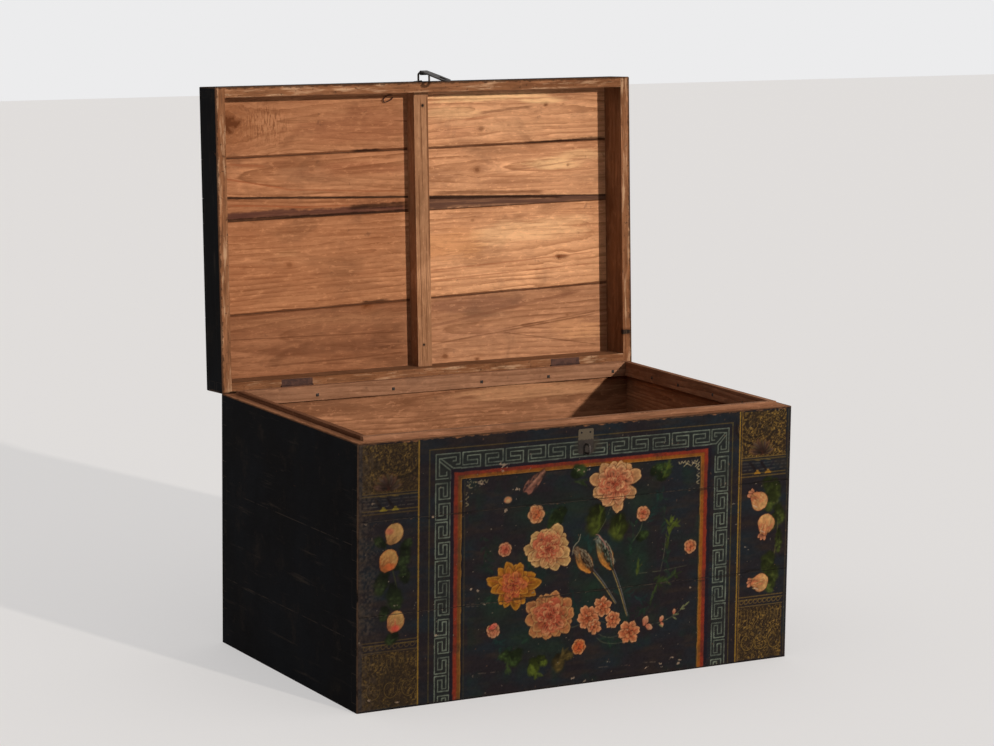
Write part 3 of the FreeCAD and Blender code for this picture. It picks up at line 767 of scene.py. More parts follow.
def stroke(art, points, width, tone, cover=1.0, taper=0.35, rough=0.25, straight=False, gaps=0.0):
    # brush stroke along the points: its width falls off towards both ends as a sine, gaps breaks it up
    line = np.asarray(points, float) if straight else bend(points)
    pad = width + 2
    low, high = line.min(0) - pad, line.max(0) + pad
    spot, x, z = art.area(low[0], high[0], low[1], high[1])
    if not x.size:
        return
    gap, run = reach(x, z, line)
    half = width / 2 * (1 - taper + taper * np.sin(np.pi * np.clip(run, 0.02, 0.98)))
    half = half * (1 + rough * (cloud(x, z, 3.0, 5) - 0.5))
    shape = ramp(half + 0.5 - gap, 0, 1.0) * cover
    if gaps:
        shape = shape * ramp(cloud(x, z, 4.0, 6, 2), gaps - 0.06, gaps + 0.06)
    art.lay(spot, shape, tone)


def ruled(art, points, width, tone, cover, gaps=0.0):
    # straight lines of even width
    stroke(art, points, width, tone, cover=cover, taper=0, straight=True, gaps=gaps)


def petal(art, at, angle, long, wide, root, tip, lobe=0.0, edge=None, vein=0.1, blunt=0.6, cover=1.0,
          point=0.0, contour=(52, 30, 24)):
    # narrow root, round end with soft lobes: the half width rises as a sine, then falls as an ellipse;
    # colour from root to tip, paler rim, brush streaks from the root
    turn = math.radians(angle)
    pad = max(long, wide) * 1.15 + 2
    spot, x, z = art.area(at[0] - pad, at[0] + pad, at[1] - pad, at[1] + pad)
    if not x.size:
        return
    dx, dz = x - at[0], z - at[1]
    off = (dz * math.cos(turn) - dx * math.sin(turn)) / (wide / 2)
    run = (dx * math.cos(turn) + dz * math.sin(turn)) / long
    run = run * (1 + 0.045 * lobe * (1 - np.cos(off * 5.4 + angle))) + (cloud(x, z, 6.0, 14) - 0.5) * 0.06
    inside = np.clip(run, 0, 1)
    tipShape = np.sqrt(np.clip(1 - ((inside - blunt) / (1 - blunt)) ** 2, 0, 1))
    tipShape = tipShape * (1 - point * ramp(inside, blunt, 1))
    rootShape = 0.3 + 0.7 * np.sin(np.pi / 2 * np.clip(inside / blunt, 0, 1))
    half = np.where(inside > blunt, tipShape, rootShape)
    depth = np.minimum((half - np.abs(off)) * wide / 2, np.minimum(run + 0.02, 1 - run) * long)
    share = ramp(run + 0.22 * off ** 2, 0.2, 0.95)
    tone = np.asarray(root, float) + (np.asarray(tip, float) - root) * share[..., None]
    streak = 0.5 + 0.5 * np.cos(off * 7 + angle + 3 * cloud(x, z, 7.0, 15))
    tone = tone * (1 - vein * 1.6 * streak * (1 - share))[..., None]
    tone = tone * (0.8 + 0.07 * off + 0.34 * cloud(x, z, 4.5, 9, 3))[..., None]
    if edge is not None:
        rim = ramp(3.4 - depth, 0, 2.4) * ramp(run, 0.4, 0.75) * (0.3 + 0.7 * cloud(x, z, 5.0, 16))
        tone = tone + (np.asarray(edge, float) - tone) * (rim * 0.95)[..., None]
    art.lay(spot, ramp(depth, -1.9, -0.3) * 0.72 * cover, contour, 0)
    art.lay(spot, ramp(depth, -0.4, 0.7) * cover, tone)


def disc(art, at, radiusX, radiusZ, middle, rim, cover=1.0, soft=0.8):
    # round dab, colour from the middle to the rim
    spot, x, z = art.area(
        at[0] - radiusX - 2, at[0] + radiusX + 2, at[1] - radiusZ - 2, at[1] + radiusZ + 2,
    )
    if not x.size:
        return
    gap = np.hypot((x - at[0]) / radiusX, (z - at[1]) / radiusZ)
    shape = ramp((1 - gap) * min(radiusX, radiusZ), -soft / 2, soft / 2)
    tone = np.asarray(middle, float) + (np.asarray(rim, float) - middle) * ramp(gap, 0.2, 1)[..., None]
    art.lay(spot, shape * cover, tone)


def flower(art, look):
    # rings of petals from the outside in, then fine curved strokes in the core
    rng = np.random.default_rng(look["seed"])
    centre = look["at"]
    for ring in look["rings"]:
        count = ring.get("count", 0)
        petals = ring.get(
            "petals",
            [(ring.get("turn", 0) + n * 360 / count, ring["long"], ring["wide"]) for n in range(count)],
        )
        for n in rng.permutation(len(petals)):
            angle, long, wide = petals[n]
            angle = angle + rng.uniform(-5, 5)
            long = long * rng.uniform(0.93, 1.07)
            wide = wide * rng.uniform(0.9, 1.1)
            shadeOf = rng.uniform(0.9, 1.05)
            petal(
                art, centre, angle, long, wide, scaled(ring["root"], shadeOf),
                scaled(ring["tip"], shadeOf), ring.get("lobe", 0.8), ring.get("edge"), 0.3,
                ring.get("blunt", 0.72), 1.0, ring.get("point", 0.0), (74, 38, 26),
            )
            turn = math.radians(angle)
            for _ in range(3):
                off = rng.uniform(-0.28, 0.28) * wide
                near, far = rng.uniform(0.3, 0.45) * long, rng.uniform(0.6, 0.85) * long
                line = (stepped(centre, turn, near, off * 0.6), stepped(centre, turn, far, off))
                stroke(
                    art, line, rng.uniform(0.9, 1.5), look["ink"][rng.integers(len(look["ink"]))],
                    cover=0.5, gaps=0.3,
                )
    for n in range(look.get("ruffles", 0)):
        # small petals from the rim inwards, each turned by the golden angle, with tints that jump about
        share = 1 - n / look["ruffles"]
        bearing = math.radians(n * 137.5 + rng.uniform(-34, 34))
        far = look["core"] * share ** 0.6 * rng.uniform(0.5, 1.0)
        at = stepped(centre, bearing, far * 0.6)
        long = 9 + 10 * share * rng.uniform(0.6, 1.2)
        tint = rng.uniform(0, 1) ** 0.8
        deep, pale = [np.asarray(v, float) for v in look["tints"]]
        tip = deep + (pale - deep) * tint
        petal(
            art, at, math.degrees(bearing) + rng.uniform(-50, 50), long, long * rng.uniform(0.6, 0.95),
            deep, tip, 0.6, tuple(np.minimum(tip * 1.08 + 6, 255)), 0.35, 0.58, 1.0, 0.15,
            tuple(deep * (0.86, 0.72, 0.7)),
        )
    for n in range(look["arcs"]):
        angle = rng.uniform(0, 2 * math.pi)
        far = rng.uniform(0.1, 1.0) * look["core"]
        middle = stepped(centre, angle, far)
        sweep = rng.uniform(2.0, 4.2)
        side = angle + math.pi / 2 + rng.uniform(-0.9, 0.9)
        arc = (stepped(middle, side, -sweep), stepped(middle, angle, 2.0), stepped(middle, side, sweep))
        stroke(art, arc, rng.uniform(0.9, 1.5), look["ink"][n % len(look["ink"])], cover=0.6)


def leaf(art, at, angle, long, wide, tone, cover=0.8):
    # soft leaf of overlapping dabs that grow lighter towards the tip, then a few strokes along it
    rng = np.random.default_rng(int(abs(at[0]) * 7 + abs(at[1]) * 3))
    turn = math.radians(angle)
    petal(
        art, at, angle, long, wide, scaled(tone, 0.55), scaled(tone, 0.8), 0.8, None, 0.3, 0.5,
        cover * 0.75, 0.1, scaled(tone, 0.3),
    )
    for n in range(30):
        share = rng.uniform(0.04, 0.96)
        off = rng.uniform(-0.5, 0.5) * wide * math.sin(math.pi * (0.1 + 0.85 * share)) ** 0.7
        spot = stepped(at, turn, share * long, off)
        light = (0.5 + 0.7 * share) * rng.uniform(0.75, 1.25)
        size = rng.uniform(0.16, 0.27) * wide
        dab = scaled(tone, light)
        disc(art, spot, size, size * 0.85, dab, scaled(dab, 0.8), cover * 0.62, size)
    for n in range(7):
        share, off = rng.uniform(0.45, 0.9), rng.uniform(-0.3, 0.3) * wide
        spot = stepped(at, turn, share * long, off)
        disc(
            art, spot, 0.13 * wide, 0.11 * wide, scaled(tone, 1.5), scaled(tone, 1.2), cover * 0.5,
            0.12 * wide,
        )
    for n in range(2):
        off = rng.uniform(-0.3, 0.3) * wide
        start = stepped(at, turn, 0.35 * long, off)
        stroke(
            art, (start, stepped(start, turn, long * 0.5)), 2.4, scaled(tone, 1.25), cover=0.35 * cover,
            gaps=0.45,
        )


def sprig(art, at, angle, long, spread, count, tone, seed, cover=0.6):
    # loose clump of short leaf strokes that fan out along one line
    rng = np.random.default_rng(seed)
    for n in range(count):
        share = rng.uniform(0, 1)
        turn = math.radians(angle)
        start = stepped(at, turn, share * long)
        way = turn + rng.uniform(-spread, spread)
        size = rng.uniform(8, 17)
        stop = stepped(start, way, size)
        mid = (
            (start[0] + stop[0]) / 2 + rng.uniform(-2, 2), (start[1] + stop[1]) / 2 + rng.uniform(-2, 2),
        )
        light = rng.uniform(0.75, 1.3)
        stroke(
            art, (start, mid, stop), rng.uniform(2.5, 5.5), scaled(tone, light), cover=cover, taper=0.8,
        )


bodyFace = {
    "step": 1.15, "rim": 1.7, "out": 0.5, "back": 0.05, "gap": 0.35, "rubAt": (5.0, 371.0),
    "rubHalf": (15.0, 13.0), "rubOut": 0.2, "relief": 0.3, "edgeFall": 0.3, "edgeWide": 0.9,
    "under": (30, 28, 30),
}
seamLow, seamHigh = chest["seams"]
edgeX = chest["halfWidth"] - bodyFace["rim"]
bands = [
    (bodyFace["rim"], seamLow - bodyFace["gap"]), (seamLow + bodyFace["gap"], seamHigh - bodyFace["gap"]),
    (seamHigh + bodyFace["gap"], chest["height"] - bodyFace["rim"]),
]
xs = np.linspace(-edgeX, edgeX, int(2 * edgeX / bodyFace["step"]) + 1)
rows = [np.linspace(low, high, int((high - low) / bodyFace["step"]) + 1) for low, high in bands]
art = Canvas(xs, np.concatenate(rows))
X, Z = np.meshgrid(art.xs, art.zs)

# ground: near black, drawn out along the boards, with dim green and blue clouds round the flowers
ground = {"base": (31, 28, 33), "blue": (26, 34, 42), "green": (24, 44, 36), "brown": (46, 38, 34)}
art.tone[:] = ground["base"]
everywhere = (slice(None), slice(None))
art.lay(everywhere, ramp(cloud(X * 0.4, Z, 26, 2, 3), 0.42, 0.75) * 0.75, ground["blue"], 0)
art.lay(everywhere, ramp(cloud(X * 0.25, Z, 9, 3, 3), 0.5, 0.8) * 0.5, ground["brown"], 0)
inField = ramp(217 - np.abs(X - 9.5), 0, 2) * ramp(355 - Z, 0, 2)
bloom = np.exp(-(((X - 20) / 150) ** 2 + ((Z - 190) / 120) ** 2) * 1.2)
art.lay(
    everywhere, ramp(cloud(X, Z, 30, 4, 3) + bloom * 0.2, 0.55, 0.95) * inField * 0.6, ground["green"], 0,
)

# fret border: one unbroken line that turns in on itself twice in every pair of units
fret = {
    "left": -266.0, "right": 278.0, "top": 399.0, "band": 27.0, "sideBand": 28.0, "corner": 46.0,
    "start": 353.5, "line": 1.5, "ink": (118, 132, 124), "field": (33, 38, 38), "sidePair": 61.6,
}
fretLines = [
    [
        (0.035, 1.0), (0.035, 0.2), (0.375, 0.2), (0.375, 0.47), (0.14, 0.47), (0.14, 0.77), (0.44, 0.77),
        (0.44, 0.0),
    ],
    [(0.035, 1.0), (0.965, 1.0)],
    [
        (0.965, 1.0), (0.965, 0.2), (0.625, 0.2), (0.625, 0.47), (0.86, 0.47), (0.86, 0.77), (0.56, 0.77),
        (0.56, 0.0),
    ],
    [(0.0, 0.0), (0.44, 0.0)], [(0.56, 0.0), (1.0, 0.0)],
]


def fretRun(art, area, along, origin, pair, inner, band, sign):
    # distance to the key's lines, worked out in one pair of units and repeated along the border
    spot, x, z = area
    run, rise = (x, z) if along == "x" else (z, x)
    u = np.mod((run - origin) / pair, 1.0) * pair
    v = (rise - inner) * sign
    lines = []
    for chain in fretLines:
        lines.append(reach(u, v, [(a * pair, 1.2 + b * (band - 2.4)) for a, b in chain])[0])
    gap = np.min(lines, 0)
    gap = gap + (cloud(x, z, 5, 12) - 0.5) * 0.6
    wear = 0.62 + 0.38 * ramp(cloud(x, z, 22, 13, 3), 0.3, 0.62)
    art.lay(spot, np.full(gap.shape, 0.7), fret["field"], 0)
    art.lay(spot, ramp(fret["line"] / 2 + 0.5 - gap, 0, 1.1) * wear, fret["ink"], 0.1)


topLow = fret["top"] - fret["band"]
runLeft, runRight = fret["left"] + fret["corner"], fret["right"] - 36.0
fretRun(
    art, art.area(runLeft, runRight, topLow, fret["top"]), "x", runLeft, (runRight - runLeft) / 6, topLow,
    fret["band"], 1,
)
for edge, sign in (("left", -1), ("right", 1)):
    inner = fret["left"] + fret["sideBand"] if edge == "left" else fret["right"] - fret["sideBand"]
    low, high = sorted((inner, inner + sign * fret["sideBand"]))
    fretRun(
        art, art.area(low, high, 2, fret["start"]), "z", fret["start"], fret["sidePair"], inner,
        fret["sideBand"], sign,
    )
for corner, sign, wide in ((fret["left"], 1, 46.0), (fret["right"], -1, 36.0)):
    tall = fret["top"] - fret["start"] - 4

    def put(*shares):
        return [(corner + sign * u * wide, fret["top"] - v * tall) for u, v in shares]

    low, high = sorted((corner, corner + sign * wide))
    spot, x, z = art.area(low, high, fret["start"], fret["top"])
    inPiece = (np.abs(x - corner) < fret["sideBand"]) | (z > topLow)
    art.lay(spot, 0.7 * inPiece, fret["field"], 0)
    for chain in (
        put((0.03, 0.97), (0.03, 0.03), (0.95, 0.03), (0.95, 0.46), (0.8, 0.46)),
        put((0.16, 0.2), (0.8, 0.17), (0.8, 0.32), (0.68, 0.32)),
        put((0.16, 0.2), (0.16, 0.86), (0.44, 0.86), (0.44, 0.72)),
        put((0.24, 0.22), (0.7, 0.6), (1.0, 0.6)), put((0.17, 0.3), (0.6, 0.68), (0.6, 1.0)),
        put((0.03, 0.97), (0.5, 0.97)),
    ):
        ruled(art, chain, fret["line"], fret["ink"], 0.75)

# thin line outside the fret, red and orange stripe inside it
for x in (fret["left"] - 9.8, fret["right"] + 6.5):
    ruled(art, ((x, 3), (x, fret["top"] + 7)), 1.4, (92, 84, 44), 0.65)
outside = ((fret["left"] - 9.8, fret["top"] + 7), (fret["right"] + 6.5, fret["top"] + 7))
ruled(art, outside, 1.4, (96, 82, 44), 0.65)
stripe = {"left": -232.5, "right": 237.0, "top": 367.0, "wide": 14.0, "tall": 11.5}
spot, x, z = art.area(stripe["left"] - 8, stripe["right"] + 8, 0, stripe["top"] + 6)
wobble = (cloud(x, z, 12, 21, 2) - 0.5) * 1.6
depthX = np.minimum(x - stripe["left"], stripe["right"] - x) / stripe["wide"]
depthZ = (stripe["top"] - z) / stripe["tall"]
depth = np.minimum(depthX, depthZ) + wobble / 14
edgeWear = 0.7 + 0.3 * ramp(cloud(x, z, 16, 22, 3), 0.3, 0.6)
art.lay(spot, ramp(depth, -0.5, -0.4) * ramp(0.02 - depth, 0, 0.06) * 0.8, (27, 22, 32), 0)
art.lay(spot, ramp(depth, -0.03, 0.04) * ramp(0.55 - depth, 0, 0.08) * edgeWear, (112, 42, 30), 0.1)
art.lay(
    spot, ramp(depth, 0.42, 0.56) * ramp(1.0 - depth, 0, 0.07) * edgeWear * np.where(x < -214, 0.7, 1),
    (126, 74, 28), 0.1,
)
art.lay(spot, ramp(depth, 0.84, 0.9) * ramp(1.0 - depth, 0, 0.06) * edgeWear * 0.7, (138, 108, 50), 0.1)
art.lay(spot, ramp(depth, 1.0, 1.05) * ramp(1.18 - depth, 0, 0.06) * 0.6, (20, 17, 22), 0)

# corner strips: two brocade fields, a band and a panel of fruit on each side
dimGold, greyViolet = (96, 80, 40), (84, 76, 80)
strips = (
    {
        "low": -396, "high": -294, "line": -294.5, "bend": 1, "ink": (84, 68, 38),
        "spark": (128, 116, 40), "seed": 61,
    },
    {
        "low": 299, "high": 392, "line": 299.0, "bend": -1, "ink": (112, 90, 46), "spark": (168, 122, 40),
        "seed": 62,
    },
)


def brocade(art, low, high, base, top, ink, seed):
    # dark brown ground under gold scrolls: level lines of a smooth random field, rubbed off in places
    spot, x, z = art.area(low, high, base, top)
    art.lay(spot, 0.75 + 0.2 * cloud(x, z, 8, seed, 2), (42, 33, 25), 0)
    swayX, swayZ = cloud(x, z, 11, seed + 1), cloud(x, z, 11, seed + 7)
    swirl = cloud(x + 9 * swayX, z + 9 * swayZ, 8.0, seed + 2, 2) * 5.5
    level = np.abs(swirl - np.floor(swirl) - 0.5)
    rubbed = 0.35 + 0.65 * ramp(cloud(x, z, 15, seed + 3, 3), 0.32, 0.6)
    art.lay(spot, ramp(0.2 - level, 0, 0.12) * rubbed * 0.85, ink, 0.08)
    dots = ramp(cloud(x, z, 2.8, seed + 4, 2), 0.64, 0.74)
    art.lay(spot, dots * rubbed * 0.7, scaled(ink, 1.3), 0.08)


for strip in strips:
    low, high, ink, hand = strip["low"], strip["high"], strip["ink"], strip["bend"]
    middle = (low + high) / 2
    brocade(art, low + 4, high - 2, 345, 421, ink, strip["seed"])
    brocade(art, low + 4, high - 2, 4, 92, ink, strip["seed"] + 5)
    dark = (26, 22, 20)
    for reachOut, tone, wide in ((31, dark, 4.5), (27, ink, 1.4), (19, dark, 3.0)):
        points = [
            (middle + hand * 16 + math.cos(a) * reachOut * 1.25, 396 + math.sin(a) * reachOut * 0.9)
            for a in np.linspace(2.9, 5.9, 9)
        ]
        stroke(art, points, wide, tone, cover=0.6)
    for n in range(9):
        angle = 12 + n * 19.5
        shadeOf = (greyViolet, (70, 66, 54), (92, 66, 64))[n % 3]
        petal(art, (middle - 4, 351), angle, 26, 9, (36, 32, 30), shadeOf, 0.2, ink, 0.3, 0.6, 0.7, 0.4)
    for v, tone in (
        (345, ink), (313, ink), (341, dimGold), (318, dimGold), (110, ink), (105, dimGold), (94, ink),
    ):
        ruled(art, ((low + 4, v), (high - 2, v)), 1.5, tone, 0.75)
    for n in range(9):
        u = low + 10 + n * (high - low - 20) / 8
        curl = [(u + math.cos(a) * 3.4, 101.5 + math.sin(a) * 3.4) for a in np.linspace(0.4, 5.8, 8)]
        stroke(art, curl, 1.3, ink, cover=0.8)
        stroke(art, ((u + 3, 100), (u + 6, 103)), 1.2, ink, cover=0.7)
    for v, cover in ((335, 0.55), (330, 0.35), (324, 0.5)):
        ruled(art, ((low + 4, v), (high - 2, v)), 1.2, (92, 88, 80), cover, 0.4)
    for u in (middle - 11, middle + 10):
        stroke(art, ((u - 14, 336), (u - 3, 322)), 5.0, (24, 20, 22), cover=0.8)
        stroke(art, ((u + 12, 338), (u + 2, 323)), 4.0, (30, 28, 36), cover=0.7)
        stroke(art, ((u - 5, 340), (u + 5, 339)), 1.8, (112, 92, 48), cover=0.6)
        for v, wide in ((317.5, 5.5), (319.5, 3.6), (322, 1.6)):
            stroke(art, ((u - wide, v), (u + wide, v)), 2.2, strip["spark"], cover=0.8, taper=0.2)
    for n in range(13):
        u = low + 9 + n * (high - low - 14) / 12
        stroke(art, ((u, 68), (u + 1.5, 78), (u, 88)), 1.3, ink, cover=0.6)
    for n in range(3):
        u = low + 22 + n * (high - low - 40) / 2
        curl = [
            (u + math.cos(a) * (4 + a) * 1.4, 34 + math.sin(a) * (4 + a) * 1.7)
            for a in np.linspace(0.4, 6.5, 12)
        ]
        stroke(art, curl, 3.4, dark, cover=0.7)
        stroke(art, curl, 1.3, scaled(ink, 1.2), cover=0.85)
    ruled(art, ((strip["line"], 3), (strip["line"], 423)), 2.2, (156, 122, 44), 0.85)
ruled(art, ((303.2, 3), (303.2, 423)), 1.3, (146, 108, 40), 0.7)
ruled(art, ((394, 6), (394, 421)), 1.2, (80, 70, 44), 0.6)

# fruit in the corner panels
stemTone = (62, 70, 36)
stroke(art, ((-338, 300), (-352, 262), (-340, 225), (-330, 180), (-336, 150)), 1.6, stemTone, cover=0.6)
stroke(art, ((368, 306), (376, 262), (377, 215), (370, 170), (362, 150)), 2.4, (84, 84, 48), cover=0.6)
for at, angle, long, wide in (
    ((-352, 262), 150, 22, 14), ((-340, 225), 20, 22, 14), ((-352, 222), 250, 40, 22),
    ((-340, 200), 280, 44, 24), ((-318, 262), 270, 34, 18), ((-330, 120), 210, 24, 16),
    ((-350, 165), 250, 24, 16), ((-322, 255), 40, 20, 14), ((-316, 200), 100, 30, 16),
):
    leaf(art, at, angle, long, wide, (36, 46, 28), 0.7)
for at, angle, long, wide in (
    ((352, 308), 300, 40, 22), ((372, 306), 270, 40, 20), ((366, 286), 250, 36, 24),
    ((376, 262), 285, 34, 18), ((372, 246), 240, 30, 18), ((380, 220), 270, 40, 12),
    ((366, 182), 250, 34, 24), ((352, 168), 300, 30, 18), ((372, 160), 260, 34, 22),
    ((362, 140), 280, 26, 18),
):
    leaf(art, at, angle, long, wide, (58, 68, 32), 0.75)
peaches = (
    ((-336, 279), 16.5, (196, 158, 102), (158, 116, 76), (188, 146, 94), (-9, 5), (178, 96, 78)),
    ((-346, 237), 17.5, (188, 148, 92), (156, 92, 52), (178, 86, 48), (2, -9), (184, 92, 52)),
    ((-333, 139), 16.5, (192, 156, 98), (154, 96, 66), (186, 130, 84), (-1, -10), (196, 70, 62)),
)
for at, size, light, rim, blush, cheek, cheekTone in peaches:
    petal(
        art, (at[0] - size * 0.62, at[1] - size * 0.85), 58, size * 2.1, size * 1.85, rim, light, 0.1,
        rim, 0.12, 0.5,
    )
    for n in range(26):
        turn, far = n * 2.4, (n / 26) ** 0.5 * size * 0.82
        dab = stepped(at, turn, far)
        tint = (light, (208, 178, 122), light, (160, 122, 72))[n % 4]
        if math.sin(turn) * far < -size * 0.35:
            tint = blush
        stroke(art, (dab, (dab[0] + 2.5, dab[1] + 3)), 2.6, tint, cover=0.36)
    disc(
        art, (at[0] + cheek[0], at[1] + cheek[1]), size * 0.42, size * 0.3, cheekTone, cheekTone, 0.75, 4,
    )
    stroke(
        art, ((at[0] + cheek[0], at[1] + cheek[1]), (at[0] + cheek[0] * 0.6 - 1, at[1] + size * 0.4)),
        1.3, cheekTone, cover=0.5,
    )
pomegranates = (((338, 272), 17.0, 140), ((353.5, 229), 17.5, 250), ((343, 132.5), 16.5, 175))
for at, size, crown in pomegranates:
    turn = math.radians(crown)
    head = stepped(at, turn, size * 0.75)
    for spread in (-34, 0, 34):
        petal(
            art, head, crown + spread, size * 0.75, size * 0.4, (180, 104, 82), (206, 142, 108), 0, None,
            0.15, 0.5,
        )
    petal(
        art, stepped(at, turn, size * 0.9), crown + 180, size * 2.0, size * 1.9, (190, 122, 84),
        (212, 170, 114), 0.2, (196, 124, 90), 0.2, 0.55,
    )
    for n in range(24):
        bearing, far = n * 2.4, (n / 24) ** 0.5 * size * 0.8
        dab = stepped(at, bearing, far)
        tint = ((228, 196, 140), (180, 92, 72), (212, 166, 110), (196, 128, 88))[n % 4]
        stroke(art, (dab, stepped(dab, turn, 5)), 1.8, tint, cover=0.55)
    stroke(
        art, ((at[0] - size * 0.55, at[1] - size * 0.5), (at[0] - size * 0.1, at[1] - size * 0.7)), 2.0,
        (228, 210, 190), cover=0.65,
    )
print("borders and strips painted")

# leaves and stems behind the flowers
greens = {
    "leafy": (52, 60, 24), "olive": (62, 74, 28), "moss": (42, 56, 30), "deep": (26, 44, 34),
    "teal": (24, 48, 46), "brown": (70, 60, 34),
}
dimSprigs = (
    ((-30, 300), 200, 50, "deep"), ((-80, 260), 250, 50, "deep"), ((-150, 200), 250, 50, "deep"),
    ((-20, 160), 290, 60, "teal"), ((60, 150), 340, 60, "teal"), ((120, 250), 60, 60, "teal"),
    ((150, 300), 280, 60, "deep"), ((-90, 90), 200, 60, "deep"), ((30, 70), 350, 80, "deep"),
    ((170, 150), 100, 60, "deep"), ((-170, 120), 300, 50, "teal"), ((90, 200), 80, 60, "deep"),
    ((-180, 260), 280, 60, "deep"), ((20, 180), 100, 60, "teal"), ((140, 120), 200, 60, "deep"),
)
for at, wide, tall in (
    ((-95, 290), 46, 30), ((-10, 296), 44, 30), ((-150, 140), 40, 34), ((20, 156), 40, 26),
    ((104, 190), 36, 40), ((-110, 90), 44, 26), ((110, 290), 40, 34), ((-60, 66), 46, 24),
):
    disc(art, at, wide, tall, (28, 44, 36), (24, 33, 32), 0.6, 44)
for n, (at, angle, long, tone) in enumerate(dimSprigs):
    sprig(art, at, angle, long, 1.2, 16, greens[tone], 300 + n, 0.4)
foliage = (
    ("leafy", ((30, 292), 262, 48, 33), ((70, 272), 265, 40, 31)),
    (
        "moss", ((146, 322), 60, 30, 20), ((128, 336), 20, 26, 16), ((-20, 345), 20, 26, 20),
        ((-30, 292), 215, 34, 20),
    ),
    ("moss", ((-112, 70), 240, 30, 20), ((-124, 62), 180, 24, 16)),
    ("olive", ((-84, 52), 262, 30, 20), ((-78, 54), 320, 20, 14)),
    ("brown", ((-42, 54), 280, 28, 20), ((-32, 54), 340, 20, 14)),
    ("moss", ((-44, 285), 250, 34, 22), ((104, 228), 30, 24, 14)),
)
for tone, *leaves in foliage:
    for at, angle, long, wide in leaves:
        leaf(art, at, angle, long, wide, greens[tone])
for n, (at, angle, long, spread, count, tone, cover) in enumerate((
    ((150, 325), 60, 24, 0.9, 10, "olive", 0.45), ((162, 200), 85, 52, 0.8, 22, "olive", 0.55),
    ((166, 244), 20, 10, 0.8, 8, "olive", 0.6), ((140, 150), 20, 50, 1.3, 18, "moss", 0.6),
    ((150, 168), 250, 40, 0.7, 14, "moss", 0.5), ((104, 168), 80, 20, 0.6, 10, "olive", 0.35),
    ((-130, 66), 260, 26, 0.9, 12, "moss", 0.6), ((-92, 44), 300, 22, 0.9, 12, "olive", 0.6),
    ((-40, 40), 60, 16, 0.9, 10, "brown", 0.6), ((30, 252), 80, 30, 0.5, 8, "olive", 0.4),
    ((66, 240), 80, 24, 0.5, 8, "olive", 0.4), ((-22, 336), 350, 26, 0.6, 8, "moss", 0.5),
)):
    sprig(art, at, angle, long, spread, count, greens[tone], 340 + n, cover)
stems = (
    ((60, 300), (42, 262), (24, 240)), ((-57, 118), (-20, 96), (20, 104), (60, 92)),
    ((104, 172), (150, 172), (200, 176)), ((122.5, 84), (150, 86), (178, 95), (204, 112)),
    ((20, 86), (40, 66), (66, 60), (88, 62)), ((26, 84), (50, 72), (78, 72)),
    ((115, 262), (110, 244), (96, 226)), ((150, 172), (156, 200), (160, 236)),
)
for chain in stems:
    stroke(art, chain, 1.4, (80, 84, 68), cover=0.6, gaps=0.3)

